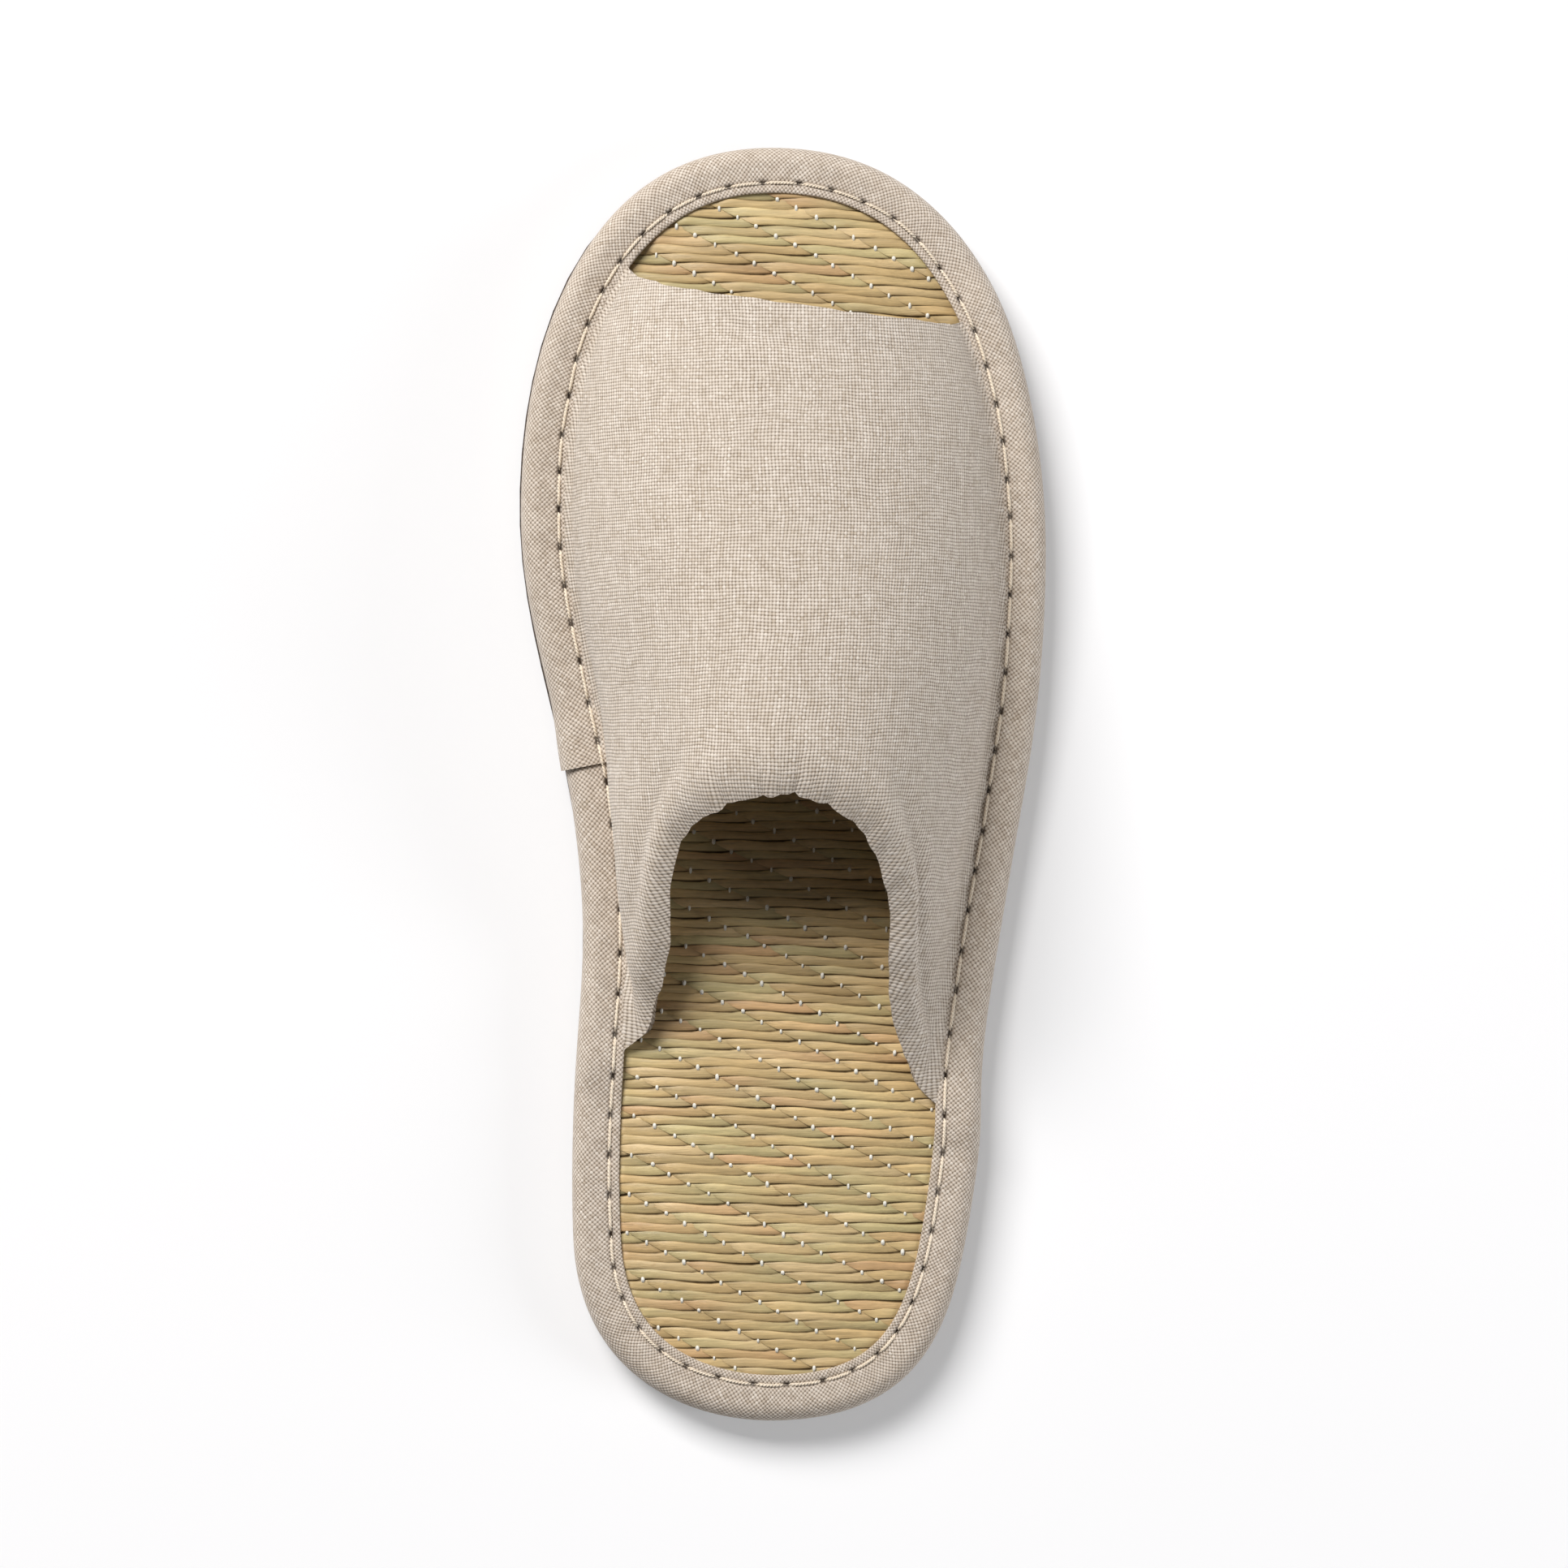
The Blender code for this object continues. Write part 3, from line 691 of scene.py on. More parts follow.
def linen(name, cloth, painted_stitch_shade=False):
    """Plain weave of uneven flax threads, read from the places on the cloth, with painted shade in
    its pinholes and valleys and a painted highlight on the tops of its crossings.
    """
    graph = Graph(name)
    flat = graph.node("ShaderNodeUVMap", uv_map="cloth").outputs[0]
    wander = graph.node("ShaderNodeTexNoise", {"Vector": graph.solid, "Scale": 70.0, "Detail": 2.0})
    sway = graph.parts(wander.outputs[1])
    across, along, _ = graph.parts(flat)
    threads = []
    for run, drift in ((across, sway[0]), (along, sway[1])):
        count = graph.math("DIVIDE", run, THREAD_PITCH)
        count = graph.math("MULTIPLY_ADD", drift, THREAD_SWAY, count)
        wave = graph.math("SINE", graph.math("MULTIPLY", count, math.pi))
        bulge = graph.math("POWER", graph.math("ABSOLUTE", wave), 1.1)
        threads.append((count, wave, graph.math("SIGN", wave), bulge))
    (u, wave_u, sign_u, bulge_u), (v, wave_v, sign_v, bulge_v) = threads
    warp = graph.math("MULTIPLY_ADD", sign_u, wave_v, bulge_u)
    weft = graph.math("SUBTRACT", bulge_v, graph.math("MULTIPLY", sign_v, wave_u))
    height = graph.math("MULTIPLY", graph.math("MAXIMUM", warp, weft), 0.5)
    over = graph.math("GREATER_THAN", warp, weft)
    warp_line = graph.math("MULTIPLY", graph.math("FLOOR", u), 7.13)
    weft_line = graph.math("MULTIPLY", graph.math("FLOOR", v), 5.37)
    warp_yarn = graph.place(warp_line, graph.math("MULTIPLY", v, 0.10), 3.0)
    weft_yarn = graph.place(graph.math("MULTIPLY", u, 0.17), weft_line, 9.0)
    warp_tone = graph.noise(warp_yarn, 1.0, 2.0, 0.6)
    weft_tone = graph.math("SUBTRACT", graph.noise(weft_yarn, 1.0, 2.0, 0.6), 0.035)
    tone = graph.node("ShaderNodeMix", {0: over, 2: weft_tone, 3: warp_tone}).outputs[0]
    yarn = graph.ramp(tone, tuple(zip(YARN_STOPS, cloth)))
    patches = graph.noise(graph.solid, 45.0, 3.0, 0.55)
    fibres = graph.noise(graph.solid, 5200.0, 2.0, 0.6)
    gaps = graph.noise(graph.solid, 620.0, 2.0, 0.6)
    level = graph.math("MULTIPLY_ADD", graph.math("SUBTRACT", gaps, 0.5), 0.42, height)
    # Painted shade and highlight: low places of the weave darken to the pinhole shade, crossing tops
    # pale
    colour = graph.blend(graph.span(level, 0.08, 0.80), cloth.pinhole, yarn)
    colour = graph.blend(graph.span(level, 0.70, 1.10, 0.0, 0.55), colour, cloth.pale)
    colour = graph.blend(graph.span(patches, 0.35, 0.7, 0.0, 0.12), colour, cloth.low)
    colour = graph.shade(colour, fibres, 0.3, 0.7, 0.88, 1.10)
    if painted_stitch_shade:
        # Painted shade in the needle holes and along the stitch groove, carried in the tint
        colour = graph.blend(graph.tint()[0], colour, STITCH_SHADE_COLOUR)
    relief = graph.math("MULTIPLY_ADD", fibres, 0.18, height)
    return graph.finish(
        colour, relief, THREAD_RELIEF,
        Roughness=0.88, Specular_IOR_Level=0.25, Sheen_Weight=0.18, Sheen_Roughness=0.5,
    )


def cotton(name, colour, dark):
    graph = Graph(name)
    fibres = graph.noise(graph.solid, 3000.0, 2.0, 0.6)
    tone = graph.blend(graph.span(fibres, 0.3, 0.7), dark, colour)
    return graph.finish(tone, fibres, 0.05 * MM, Roughness=0.8, Sheen_Weight=0.2)


# Colours of the painted shade in the joints between stems, and of the rush's brown spots
RUSH_JOINT_SHADE = (0.085, 0.050, 0.018)
RUSH_SPOT = (0.42, 0.25, 0.11)


def rush_stem(name):
    """Each stem has its own tint; fibres run along it, and painted shade darkens it where it dips
    and where it closes against the next stem.
    """
    graph = Graph(name)
    tint = graph.tint()
    fine = graph.streaks((260.0, 4200.0, 4200.0), 3.0, 0.6)
    coarse = graph.streaks((70.0, 1500.0, 300.0))
    spots = graph.streaks((420.0, 900.0, 300.0))
    colour = graph.shade(tint[0], fine, 0.25, 0.75, 0.80, 1.14)
    colour = graph.shade(colour, coarse, 0.3, 0.7, 0.84, 1.12)
    colour = graph.blend(graph.span(spots, 0.62, 0.74, 0.0, 0.22), colour, RUSH_SPOT)
    # Painted shade: where the section lies closed to light, between two stems, it takes the joint
    # shade
    colour = graph.blend(graph.span(tint[1], 0.0, 0.8), RUSH_JOINT_SHADE, colour)
    return graph.finish(colour, fine, 0.07 * MM, Roughness=0.47, Specular_IOR_Level=0.45)


def rush_bed(name):
    graph = Graph(name)
    fibres = graph.streaks((200.0, 2500.0, 2500.0), 3.0, 0.6)
    colour = graph.blend(fibres, (0.060, 0.040, 0.016), (0.20, 0.145, 0.055))
    return graph.finish(colour, fibres, 0.1 * MM, Roughness=0.8)


def brown_sheet(name):
    """Dark flexible sheet: a fine waved tread and pebbled grain, worn a little paler at random."""
    graph = Graph(name)
    across, along, _ = graph.parts(graph.solid)
    swing = graph.math("SINE", graph.math("MULTIPLY", across, 2.0 * math.pi / TREAD_WAVE))
    turn = graph.math("MULTIPLY", along, 2.0 * math.pi / TREAD_PITCH)
    tread = graph.math("SINE", graph.math("MULTIPLY_ADD", swing, TREAD_SWING, turn))
    tread = graph.span(tread, -0.5, 0.5)
    values = {"Vector": graph.solid, "Scale": 1500.0}
    pebble = graph.node("ShaderNodeTexVoronoi", values).outputs[0]
    cloud = graph.noise(graph.solid, 60.0, 4.0, 0.6)
    colour = graph.blend(cloud, (0.040, 0.027, 0.020), (0.095, 0.066, 0.050))
    height = graph.math("MULTIPLY_ADD", pebble, 0.2, tread)
    return graph.finish(colour, height, TREAD_RELIEF, Roughness=0.78)


# Rush footbed


def bed_height(inset):
    """The footbed's upper surface: a flat rim under the tape and a low crown inside it."""
    share = np.clip((inset - CROWN_INSET) / CROWN_RUN, 0.0, 1.0)
    return INSOLE_RIM_TOP + INSOLE_CROWN * np.sin(share * math.pi / 2)


def arc(centre, radius, start, end, steps):
    """Points of an arc in a section's own plane, angles in degrees."""
    angles = np.radians(np.linspace(start, end, steps + 1))
    return [(centre[0] + radius * math.cos(a), centre[1] + radius * math.sin(a)) for a in angles]


def build_board(material):
    """The padded board that carries the rush, inside the tape."""
    shoulder = SHOULDER_RADIUS - INSOLE_INSET
    lower = LOWER_RADIUS - INSOLE_INSET
    plug = BOTTOM_FLAP + FIT_GAP
    rim_top = INSOLE_RIM_TOP - RUSH_SINK
    places = [(plug + FIT_GAP, BINDING_BOTTOM), (plug, INSOLE_RIM_BOTTOM)]
    places += arc((INSOLE_INSET + lower, INSOLE_RIM_BOTTOM + lower), lower, 270.0, 180.0, 3)
    places += arc((INSOLE_INSET + shoulder, rim_top - shoulder), shoulder, 180.0, 90.0, 5)
    for inset in np.linspace(CROWN_INSET, CROWN_INSET + CROWN_RUN, 6):
        places.append((inset, bed_height(inset) - RUSH_SINK))
    point, normal = rim_at(np.arange(BOARD_STATIONS) / BOARD_STATIONS * RIM_TOTAL)
    rows = [stack(*(point - normal * inset).T, height) for inset, height in places]
    faces = many_tubes(1, len(rows), BOARD_STATIONS)
    return finish_piece("footbed_board", rows, faces, [material])


# Straw colours of the stems, and how much of the mat has each
STEM_COLOURS = (
    (0.520, 0.425, 0.210),
    (0.555, 0.405, 0.195),
    (0.575, 0.405, 0.190),
    (0.650, 0.480, 0.250),
    (0.575, 0.365, 0.180),
)
STEM_SHARES = (0.26, 0.30, 0.22, 0.14, 0.08)

# A float's form along its length. Place counts warps from its first dip; upper and lower are its
# edges' distances from the row's line, in rows; level is its height below the float's highest part.
Float = namedtuple("Float", "place upper lower level")
FLOAT = (
    Float(-0.15, 0.06, -0.06, -0.95 * MM),
    Float(0.20, 0.16, -0.24, -0.54 * MM),
    Float(0.60, 0.40, -0.66, -0.34 * MM),
    Float(1.00, 0.58, -0.98, -0.17 * MM),
    Float(1.50, 0.66, -0.88, -0.03 * MM),
    Float(2.10, 0.63, -0.74, -0.05 * MM),
    Float(3.00, 0.66, -0.66, -0.22 * MM),
    Float(3.80, 0.88, -0.58, -0.42 * MM),
    Float(4.30, 1.02, -0.44, -0.53 * MM),
    Float(4.75, 0.80, -0.24, -0.52 * MM),
    Float(5.10, 0.30, -0.10, -0.95 * MM),
)
FLOAT_STEPS = np.array((-0.15, 0.2, 0.5, 0.8, 1.1, 1.5, 2.1, 2.8, 3.5, 4.1, 4.5, 4.8, 5.1))

# Where along a float its lower or its upper edge lies softly on the next stem, with no painted shade
# line in the joint, and where the stem is painted darker, as shade, while it dips
SOFT_LOWER = ((0.84, 1.12), (1.0, 0.0))
SOFT_UPPER = ((3.85, 4.15), (0.0, 1.0))
SOFT_DROP = 0.06
DIP_SHADE = ((-0.1, 0.7, 4.3, 5.1), (0.70, 1.0, 0.96, 0.70))

# A stem's flattened section: share of its half width, depth below its top, and how open to light
# it lies there, which sets its painted shade (nothing, fully shaded, in the joint between two stems)
Round = namedtuple("Round", "across drop open")
STEM_ROUND = (
    Round(-1.00, 0.60 * MM, 0.0),
    Round(-0.86, 0.28 * MM, 0.14),
    Round(-0.64, 0.10 * MM, 0.90),
    Round(-0.26, 0.00 * MM, 1.0),
    Round(0.26, 0.00 * MM, 1.0),
    Round(0.64, 0.10 * MM, 0.90),
    Round(0.86, 0.28 * MM, 0.14),
    Round(1.00, 0.60 * MM, 0.0),
    Round(0.00, 0.80 * MM, 0.0),
)


def mat_place(warps, rows):
    """A place on the footbed, counted in warps and rows from the known crossing."""
    x = KNOWN_DOT[0] + warps * WARP_STEP[0] + rows * ROW_STEP[0]
    y = KNOWN_DOT[1] + warps * WARP_STEP[1] + rows * ROW_STEP[1]
    sway = sum(one.size * np.sin(x / one.across + y / one.along + one.start) for one in MAT_SWAYS)
    return stack(x + SWAY_ACROSS * sway, y + sway)


def float_form(place, column):
    return smooth_column(FLOAT, "place", column, place)


def stem_colours(random):
    """The colours of a stem's two ends: greenish, plain, golden, pale or reddish straw."""
    first, second = random.choice(len(STEM_COLOURS), 2, p=STEM_SHARES)
    light = random.uniform(0.90, 1.15)
    return np.array(STEM_COLOURS[first]) * light, np.array(STEM_COLOURS[second]) * light


def mat_range():
    """Numbers of rows and warps that cover the whole sole."""
    corners = np.array([(x, y) for x in (CAD_LOW.x, CAD_HIGH.x) for y in (CAD_LOW.y, CAD_HIGH.y)])
    steps = np.array((WARP_STEP, ROW_STEP)).T
    counts = np.linalg.solve(steps, (corners - np.array(KNOWN_DOT)).T)
    low = np.floor(counts.min(axis=1)).astype(int)
    high = np.ceil(counts.max(axis=1)).astype(int)
    return (low[0], high[0]), (low[1], high[1])


def build_rush(material, cotton_material):
    """Stems that float over four warps and dip under the fifth, and the warp that shows there."""
    random = np.random.default_rng(SEED)
    side = np.array([point.across for point in STEM_ROUND])
    drop = np.array([point.drop for point in STEM_ROUND])
    rim = np.array([point.open for point in STEM_ROUND])
    fine = np.linspace(FLOAT_STEPS[0], FLOAT_STEPS[-1], 60)
    shares = (FLOAT_STEPS - FLOAT_STEPS[0]) / (FLOAT_STEPS[-1] - FLOAT_STEPS[0])
    (first_warp, last_warp), (first_row, last_row) = mat_range()
    stems = []
    tints = []
    dots = []
    for row in range(first_row, last_row + 1):
        start = -row + WARPS_IN_REPEAT * math.floor((first_warp + row) / WARPS_IN_REPEAT)
        for warp in range(start, last_warp + 1, WARPS_IN_REPEAT):
            stray = random.uniform(-STEM_STRAY, STEM_STRAY, 4)
            shades = stem_colours(random)
            inside = inset_of(mat_place(warp + fine, np.full_like(fine, row))) > RUSH_INSET
            if inside[0]:
                dots.append((warp + stray[0], row + stray[1]))
            if inside.sum() < 5:
                continue
            low = fine[inside][0]
            high = fine[inside][-1]
            place = low + (high - low) * shares
            lower = float_form(place, "lower")
            upper = float_form(place, "upper")
            middle = (lower + upper) / 2 + stray[2]
            half = (upper - lower) / 2 * (1.0 + stray[3])
            rows = row + middle[:, None] + side * half[:, None]
            points = mat_place(warp + place[:, None] + np.zeros_like(rows), rows)
            inset = inset_of(points.reshape(-1, 2)).reshape(rows.shape)
            level = float_form(place, "level")[:, None] + 0.6 * MM * stray[0]
            top = bed_height(inset) + RUSH_PROUD + level
            ceiling = INSOLE_RIM_TOP + FIT_GAP - RUSH_CLEARANCE
            ceiling = ceiling + RUSH_CEILING_SLOPE * np.maximum(inset - TOP_FLAP - FLAP_SNUG, 0.0)
            soft = np.interp(place, *SOFT_LOWER)[:, None] * (side < -0.5)
            soft = soft + np.interp(place, *SOFT_UPPER)[:, None] * (side > 0.5)
            height = np.minimum(top - drop * (1.0 - (1.0 - SOFT_DROP) * soft), ceiling)
            # Painted shade in the joints: an open value of nothing is fully shaded, one gets no shade
            open_rim = rim + (1.0 - rim) * soft
            stems.append(np.concatenate((points, height[..., None]), axis=2))
            along = (place / WARPS_IN_REPEAT)[:, None, None]
            colour = shades[0] * (1.0 - along) + shades[1] * along
            # Painted shade: the stem darkens towards its dips under the warp
            fade = np.interp(place, *DIP_SHADE)[:, None, None]
            colour = np.broadcast_to(colour * fade, (*rows.shape, 3))
            tints.append(np.concatenate((colour, open_rim[..., None]), axis=2))
    faces = many_tubes(len(stems), len(FLOAT_STEPS), len(side))
    mat = finish_piece("rush_weft", np.array(stems), faces, [material], tint=np.array(tints))
    places = mat_place(*np.array(dots).T)
    places = places[inset_of(places) > TOP_FLAP + 0.6 * MM]
    return mat, build_dots(places, cotton_material, random)


def build_dots(places, material, random):
    """Short arches of cotton warp over each dip of a stem."""
    run = np.linspace(-1.0, 1.0, DOT_STEPS)[:, None]
    heights = bed_height(inset_of(places))
    arches = []
    for (x0, y0), bed in zip(places, heights):
        size = random.uniform(*DOT_SIZES)
        length = COTTON_HALF_LENGTH * random.uniform(*DOT_LENGTHS)
        radius = COTTON_RADIUS * size * np.sqrt(np.maximum(1.0 - DOT_TAPER * run ** 2, 0.1))
        base = bed + COTTON_PROUD - COTTON_DIP * run ** 2
        x = x0 + radius * np.cos(CORD_TURNS)
        z = base + radius * DOT_FLATNESS * np.sin(CORD_TURNS)
        arches.append(stack(x, y0 + length * run, z))
    faces = many_tubes(len(arches), DOT_STEPS, CORD_SIDES)
    return finish_piece("cotton_warp", np.array(arches), faces, [material])


# Linen binding


def flange_span(side):
    """Where the vamp's flange ends on one side, towards the heel and towards the toe."""
    one = np.array([float(side)])
    heel_end = vamp_middle(one, np.ones(1))[0, 1] - COLLAR_ROLL / 2
    toe_end = vamp_middle(one, np.zeros(1))[0, 1] + TOE_ROLL / 2
    return np.array((heel_end, toe_end))


FLANGE_SPANS = {side: flange_span(side) for side in (-1, 1)}


def flap_rise(point, normal):
    """The tape lies higher where the vamp's flange is under it."""
    inner = point - normal * (SEAM_INSET - FLANGE_WIDTH / 2)
    heel_end, toe_end = np.where(point[:, 0] < 0, *(FLANGE_SPANS[side][:, None] for side in (-1, 1)))
    past = np.maximum(inner[:, 1] - toe_end, heel_end - inner[:, 1])
    return FLAP_RISE * (1.0 - smooth_step(past / FLAP_RISE_RUN))


STITCHES = round(RIM_TOTAL / STITCH_PITCH)
STITCH_LENGTH = RIM_TOTAL / STITCHES
STITCH_SHIFT = 0.5


def stitch_places(random):
    """Where the needle went through, along the rim, and how much each place strays."""
    runs = (np.arange(STITCHES) + STITCH_SHIFT) * STITCH_LENGTH
    runs = runs + random.uniform(-0.35, 0.35, STITCHES) * MM
    insets = STITCH_INSET + random.uniform(-0.14, 0.14, STITCHES) * MM
    return runs, insets


def tape_surface(run, insets, runs, hole_insets):
    """Relief of the tape's top, and how deep in a needle hole each place is."""
    from_hole = (run[:, None] - runs[None, :] + RIM_TOTAL / 2) % RIM_TOTAL - RIM_TOTAL / 2
    nearest = np.argmin(np.abs(from_hole), axis=1)
    gap = from_hole[np.arange(len(run)), nearest][:, None]
    line = hole_insets[nearest][:, None]
    off = insets[None, :] - line
    between = 0.5 - 0.5 * np.cos(2.0 * math.pi * gap / STITCH_LENGTH)
    groove = -GROOVE_DEPTH * bell(off / GROOVE_WIDTH)
    hole = bell(off / DENT_WIDTH) * bell(gap / DENT_LENGTH)
    pucker = PUCKER * (between - 0.5) * bell((off + PUCKER_OFFSET) / PUCKER_WIDTH)
    puff = EDGE_PUFF * (between - 0.4) * bell((off - EDGE_PUFF_OFFSET) / EDGE_PUFF_WIDTH)
    return groove - DENT_DEPTH * hole + pucker + puff, hole


def tape_section(top_flat):
    """Insets and heights of a U of tape, its outer side first, and how far round each point is."""
    wall = TAPE_THICKNESS
    bottom = BINDING_BOTTOM
    low = LOWER_RADIUS
    shoulder = SHOULDER_RADIUS
    top = TAPE_TOP
    places = [(BOTTOM_FLAP, bottom), (TAPE_BOTTOM_PLACE, bottom)]
    places += arc((low, bottom + low), low, 270.0, 180.0, 5)
    places += arc((shoulder, top - shoulder), shoulder, 180.0, 90.0, 10)
    places += [(inset, top) for inset in top_flat]
    end = wall * 0.45
    places += arc((TOP_FLAP + FLAP_SNUG - end, top - end), end, 78.0, -10.0, 4)
    places += [(inset, top - wall) for inset in TAPE_UNDER_PLACES]
    places += arc((shoulder, top - shoulder), shoulder - wall, 90.0, 180.0, 4)
    places += arc((low, bottom + low), low - wall, 180.0, 270.0, 2)
    places += [(BOTTOM_FLAP, bottom + wall)]
    return np.array(places)


def build_binding(material):
    """The folded tape: an open strip whose last end laps over its first."""
    random = np.random.default_rng(SEED + 1)
    runs, hole_insets = stitch_places(random)
    top_flat = np.linspace(SHOULDER_RADIUS + 0.7 * MM, TOP_FLAP - 0.5 * MM, FLAP_STEPS)
    places = tape_section(top_flat)
    stations = STITCHES * STEPS_PER_STITCH
    run = np.linspace(-LAP_UNDER, RIM_TOTAL, stations)
    point, normal = rim_at(run)
    insets, heights = places.T
    to_end = RIM_TOTAL - run
    lap = LAP_STEP * (1.0 - smooth_step(to_end / LAP_RUN))
    level = np.clip((heights - BINDING_BOTTOM) / (TAPE_TOP - BINDING_BOTTOM), 0.0, 1.0)
    rise = flap_rise(point, normal)[:, None] * smooth_step(level * 1.2 - 0.2)
    relief, hole = tape_surface(run, insets, runs, hole_insets)
    upper_side = heights > TAPE_TOP - 0.55 * TAPE_THICKNESS
    face = upper_side * smooth_step((insets - 2.0 * MM) / (2.5 * MM))
    outward = np.clip(1.0 - insets / SHOULDER_RADIUS, 0.0, 1.0)
    slack = TAPE_SLACK * np.sin(run / (9.0 * MM)) * np.sin(run / (31.0 * MM) + 0.7)
    shift = insets - (lap[:, None] + slack[:, None]) * outward ** 0.6
    lift = rise + relief * face + lap[:, None] * LAP_LIFT * smooth_step(level)
    xy = point[:, None, :] - normal[:, None, :] * shift[..., None]
    grid = np.concatenate((xy, (heights + lift)[..., None]), axis=2)
    faces = grid_faces(stations, len(places), ring=True, flip=True)
    last = (stations - 1) * len(places)
    faces.append(list(range(len(places))))
    faces.append([last + i for i in reversed(range(len(places)))])
    section = np.concatenate(([0.0], np.cumsum(np.linalg.norm(np.diff(places, axis=0), axis=1))))
    flat = run[:, None]
    c = math.cos(BIAS_ANGLE)
    s = math.sin(BIAS_ANGLE)
    cloth = stack(flat * c - section * s, flat * s + section * c)
    # Painted shade: the needle holes and the stitch groove are darkened through the tint
    valley = VALLEY_SHADE * bell((insets - hole_insets.mean()) / VALLEY_WIDTH) * face
    shade = np.maximum(np.clip(hole * HOLE_SHADE * face, 0.0, 1.0), valley)
    tint = stack(shade, shade, shade, 1.0)
    piece = finish_piece("binding_tape", grid, faces, [material], cloth=cloth, tint=tint)
    return piece, (runs, hole_insets)


def build_thread(stitches, material):
    """Two twisted plies from each needle hole to the next, lying in the tape's groove."""
    runs, insets = stitches
    t = np.linspace(0.0, 1.0, THREAD_STEPS)
    tubes = []
    for i in range(STITCHES):
        start = runs[i]
        end = runs[(i + 1) % STITCHES] + (RIM_TOTAL if i == STITCHES - 1 else 0.0)
        run = start + (end - start) * t
        inset = insets[i] + (insets[(i + 1) % STITCHES] - insets[i]) * t
        point, normal = rim_at(run)
        top = TAPE_TOP + flap_rise(point, normal)
        to_end = RIM_TOTAL - run % RIM_TOTAL
        top = top + LAP_LIFT * LAP_STEP * (1.0 - smooth_step(to_end / LAP_RUN))
        ends = bell(np.minimum(run - start, end - run) / THREAD_DIP_RUN)
        height = top + THREAD_LIFT - THREAD_DIP * ends
        centre = stack(*(point - normal * inset[:, None]).T, height)
        course = unit(np.gradient(centre, axis=0))
        level = stack(*normal.T, 0.0)
        up = unit(np.cross(course, level))
        up = up * np.sign(up[:, 2:3])
        twist = 2.0 * math.pi * run / PLY_TWIST
        around = level[:, None, :] * np.cos(CORD_TURNS)[:, None]
        around = around + up[:, None, :] * np.sin(CORD_TURNS)[:, None]
        for ply in (0.0, math.pi):
            swing = level * np.cos(twist + ply)[:, None] + up * np.sin(twist + ply)[:, None]
            middle = centre + swing * PLY_OFFSET
            tubes.append(middle[:, None, :] + around * PLY_RADIUS)
    faces = many_tubes(len(tubes), THREAD_STEPS, CORD_SIDES)
    return finish_piece("seam_thread", np.array(tubes), faces, [material])


# Linen vamp


def vamp_half_thickness(down):
    """The wall swells a little into the roll at the collar."""
    swell = smooth_step((down - ROLL_STARTS) / (1.0 - ROLL_STARTS))
    return (VAMP_THICKNESS + (COLLAR_ROLL - VAMP_THICKNESS) * swell) / 2


def foot_share(around):
    """From nothing to one where the wall's foot runs out under the tape's edge."""
    return smooth_step((np.abs(around) - FOOT_STARTS) / (1.0 - FOOT_STARTS))


def wall_grid(around, downs):
    """The wall's middle with its creases, its outward directions and directions past its edges."""
    around, down = np.meshgrid(around, downs)
    middle = vamp_middle(around, down)
    outward, _ = grid_frame(middle)
    side = np.where(around < 0, -1, 1)
    _, flat = seam_at(side, middle[..., 1])
    flat = stack(flat[..., 0], flat[..., 1], 0.0)
    grid = middle + outward * crease_rise(around, middle[..., 1])[..., None]
    grid = grid + flat * (FOOT_TUCK * foot_share(around))[..., None]
    normal, across = grid_frame(grid)
    ends = [0, -1]
    normal[:, ends] = flat[:, ends]
    beyond = unit(np.cross(across, normal))
    beyond[:, ends] = stack(-flat[:, ends, 1], flat[:, ends, 0], 0.0)
    beyond[:, ends] *= side[:, ends, None]
    return grid, normal, beyond, middle


def flange_points(side, along, shift, thinning):
    """One side's flange: the tip's top and bottom, then the place under the wall's inner side."""
    across, normal = seam_at(np.array([side]), np.array([along]))
    seam = np.array((across[0], along))
    middle = FLANGE_TOP - FLANGE_THICKNESS / 2
    half = FLANGE_THICKNESS / 2 * thinning
    tip = seam + normal[0] * (VAMP_THICKNESS / 2 + FLANGE_WIDTH)
    root = seam + normal[0] * (FOOT_TUCK - VAMP_THICKNESS / 2 * FOOT_THIN * thinning)
    places = ((tip, middle + half), (tip, middle - half), (root, FLAP_BOTTOM))
    return np.array([(place[0], place[1], height) for place, height in places]) + shift


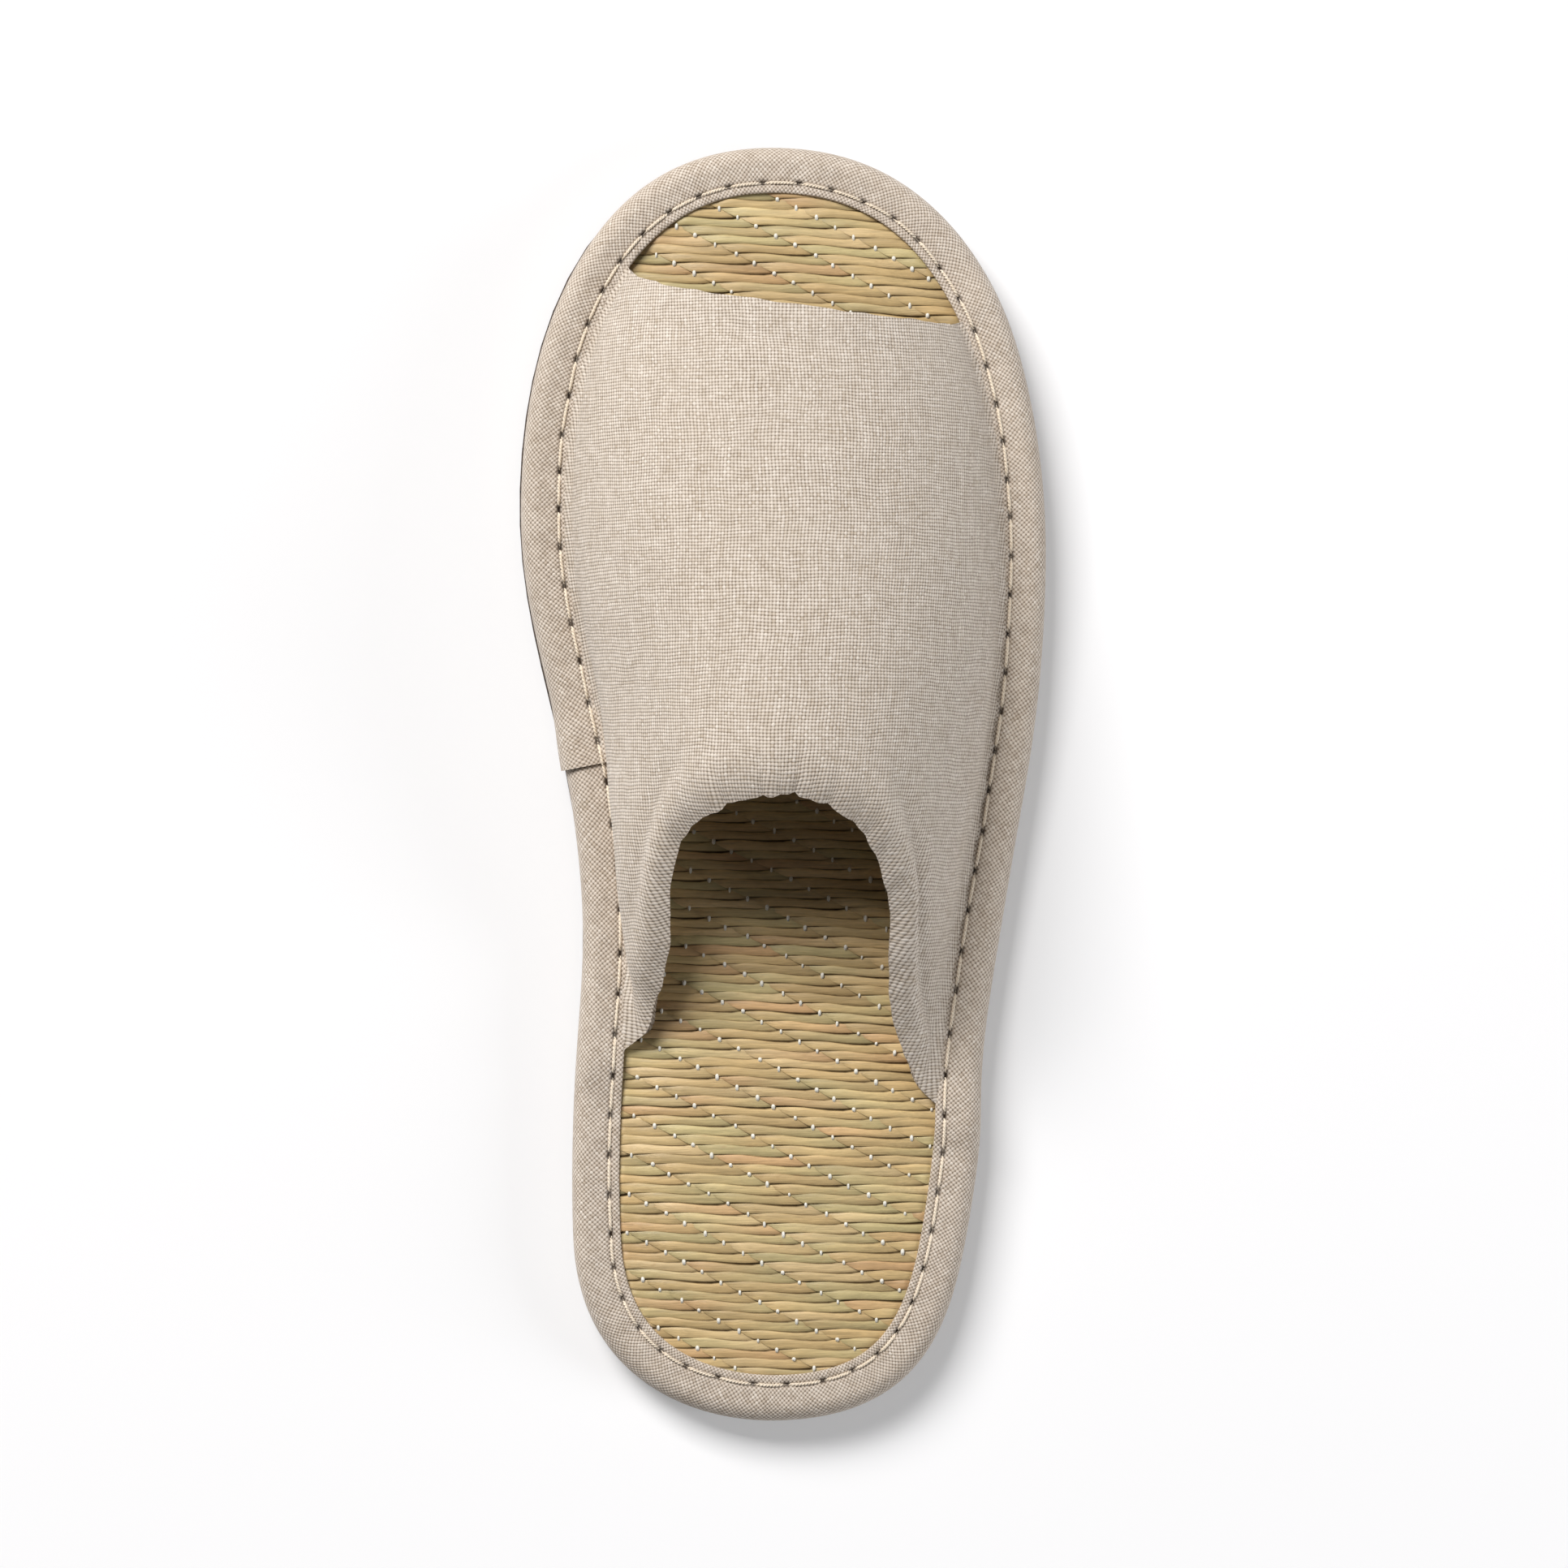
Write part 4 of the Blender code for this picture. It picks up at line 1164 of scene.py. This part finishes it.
def build_vamp(material, lining):
    """The arched wall with its flanges, rolled at the toe edge and at the collar."""
    around = np.linspace(-1.0, 1.0, VAMP_COLUMNS + 1)
    rolls = np.linspace(0.0, ROLL_TURN, ROLL_STEPS + 1)[1:]
    rows = [(0, roll, 1) for roll in reversed(rolls)]
    rows += [(row, 0.0, 1) for row in range(VAMP_ROWS + 1)]
    rows += [(VAMP_ROWS, roll, -1) for roll in rolls]
    downs = np.linspace(0.0, 1.0, VAMP_ROWS + 1)
    grid, normals, beyonds, plain = wall_grid(around, downs)
    loops = []
    cloths = []
    for row, roll, end in rows:
        half = vamp_half_thickness(np.full_like(around, downs[row]))
        half *= 1.0 - (1.0 - FOOT_THIN) * foot_share(around)
        shift = beyonds[row] * end * half[:, None] * math.sin(roll)
        spread = normals[row] * half[:, None] * math.cos(roll)
        outer = grid[row] + shift + spread
        inner = grid[row] + shift - spread
        thin = math.cos(roll)
        medial = flange_points(-1, plain[row, 0, 1], shift[0], thin)
        lateral = flange_points(1, plain[row, -1, 1], shift[-1], thin)
        loops.append(np.concatenate((medial[::-1], outer, lateral, inner[::-1])))
        flat = cloth_places(around, plain[row, :, 1])
        flat[:, 1] += end * roll * half
        tips = np.zeros((FLANGE_POINTS, 2))
        cloths.append(np.concatenate((flat[:1] + tips, flat, flat[-1:] + tips, flat[::-1])))
    loops = np.array(loops)
    count = loops.shape[1]
    faces = grid_faces(len(rows), count, ring=True)
    inside = np.zeros(count, dtype=int)
    inside[2 * FLANGE_POINTS + VAMP_COLUMNS + 1:-1] = 1
    kinds = np.tile(inside, len(rows) - 1)
    kinds[: count * ROLL_STEPS] = 0
    kinds[-count * ROLL_STEPS:] = 0
    kinds = kinds.tolist()
    first = FLANGE_POINTS
    last = first + VAMP_COLUMNS
    for start, flip in ((0, False), ((len(rows) - 1) * count, True)):
        facing = {i: start + count - 1 - (i - first) for i in range(first, last + 1)}
        closing = [[start + i, start + i + 1, facing[i + 1], facing[i]] for i in range(first, last)]
        closing.append([start + i for i in range(first + 1)] + [facing[first]])
        closing.append([start + i for i in range(last, last + first + 1)] + [facing[last]])
        faces += [face[::-1] if flip else face for face in closing]
        kinds += [0] * len(closing)
    return finish_piece(
        "linen_vamp", loops, faces, [material, lining], cloth=np.array(cloths), faces_material=kinds,
    )


# Everything on the slipper


def upright(piece):
    """Turn every face outward, and shade smoothly up to the sharp rims."""
    mesh = bmesh.new()
    mesh.from_mesh(piece.data)
    bmesh.ops.recalc_face_normals(mesh, faces=mesh.faces)
    mesh.to_mesh(piece.data)
    mesh.free()
    piece.data.shade_smooth()
    piece.data.set_sharp_from_angle(angle=SHARP_ANGLE)


def dress():
    upper_linen = linen("linen_upper", UPPER_LINEN)
    lining = linen("linen_lining", LINING_LINEN)
    warp_cotton = cotton("warp_cotton", (0.90, 0.88, 0.82), (0.70, 0.67, 0.58))
    sewing_cotton = cotton("sewing_cotton", (0.90, 0.80, 0.66), (0.70, 0.58, 0.44))
    board = build_board(rush_bed("rush_backing"))
    rush, dots = build_rush(rush_stem("rush_stem"), warp_cotton)
    tape, stitches = build_binding(linen("linen_tape", TAPE_LINEN, painted_stitch_shade=True))
    thread = build_thread(stitches, sewing_cotton)
    vamp = build_vamp(upper_linen, lining)
    for piece in (board, rush, dots, tape, thread, vamp):
        upright(piece)
        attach(piece, "root")
    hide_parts("insole")
    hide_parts("binding")
    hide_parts("upper")
    sheet = brown_sheet("outsole_sheet")
    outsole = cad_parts["outsole"]
    for slot in outsole.material_slots:
        slot.material = sheet


# Floor, light and camera
FLOOR_HALF = 3.0
FLOOR_GLOW = 0.24
WORLD_STRENGTH = 0.08
SENSOR_WIDTH = 36.0
LENS = 156.6
CAMERA_PLACE = (-63.7 * MM, 0.3 * MM, 1.4)
CAMERA_TARGET = (0.0, 0.0, 8.0 * MM)

Lamp = namedtuple("Lamp", "name place width height watts colour")
LAMPS = (
    Lamp("key_box", (-1.35, 1.82, 2.24), 1.70, 1.20, 133.0, (1.0, 0.985, 0.97)),
    Lamp("side_fill", (1.55, -0.45, 0.58), 1.1, 0.6, 13.5, (0.96, 0.975, 1.0)),
)


def build_floor():
    corners = [(x * FLOOR_HALF, y * FLOOR_HALF, 0.0) for x, y in ((-1, -1), (1, -1), (1, 1), (-1, 1))]
    graph = Graph("floor_paper")
    cloud = graph.noise(graph.solid, 3.0, 2.0)
    colour = graph.blend(cloud, (0.70, 0.70, 0.71), (0.72, 0.72, 0.73))
    graph.feed(graph.shader.inputs["Emission Color"], (1.0, 1.0, 1.0))
    paper = graph.finish(colour, Roughness=0.9, Emission_Strength=FLOOR_GLOW)
    floor = finish_piece("floor", corners, [[0, 1, 2, 3]], [paper])


def aim(name, data, place, target):
    """Set up a lamp or camera with its -Z at a target and the toe's direction up in its view."""
    back = (Vector(place) - Vector(target)).normalized()
    right = Vector((0.0, 1.0, 0.0)).cross(back).normalized()
    thing = bpy.data.objects.new(name, data)
    thing.location = place
    thing.rotation_euler = Matrix((right, back.cross(right), back)).transposed().to_euler()
    bpy.context.scene.collection.objects.link(thing)
    return thing


def build_light():
    world = bpy.data.worlds.new("pale_room")
    world.use_nodes = True
    bpy.context.scene.world = world
    background = world.node_tree.nodes["Background"]
    background.inputs["Color"].default_value = (0.95, 0.97, 1.0, 1.0)
    background.inputs["Strength"].default_value = WORLD_STRENGTH
    for lamp in LAMPS:
        data = bpy.data.lights.new(lamp.name, "AREA")
        data.shape = "RECTANGLE"
        data.size = lamp.width
        data.size_y = lamp.height
        data.energy = lamp.watts
        data.color = lamp.colour
        aim(lamp.name, data, lamp.place, (0.0, 0.0, 0.0))


def build_camera():
    """Straight above the pair, as in the photograph, with a lens that frames the one slipper."""
    data = bpy.data.cameras.new("camera")
    data.sensor_width = SENSOR_WIDTH
    data.lens = LENS
    bpy.context.scene.camera = aim("camera", data, CAMERA_PLACE, CAMERA_TARGET)


dress()
build_floor()
build_light()
build_camera()
bpy.context.scene.view_settings.view_transform = "Standard"
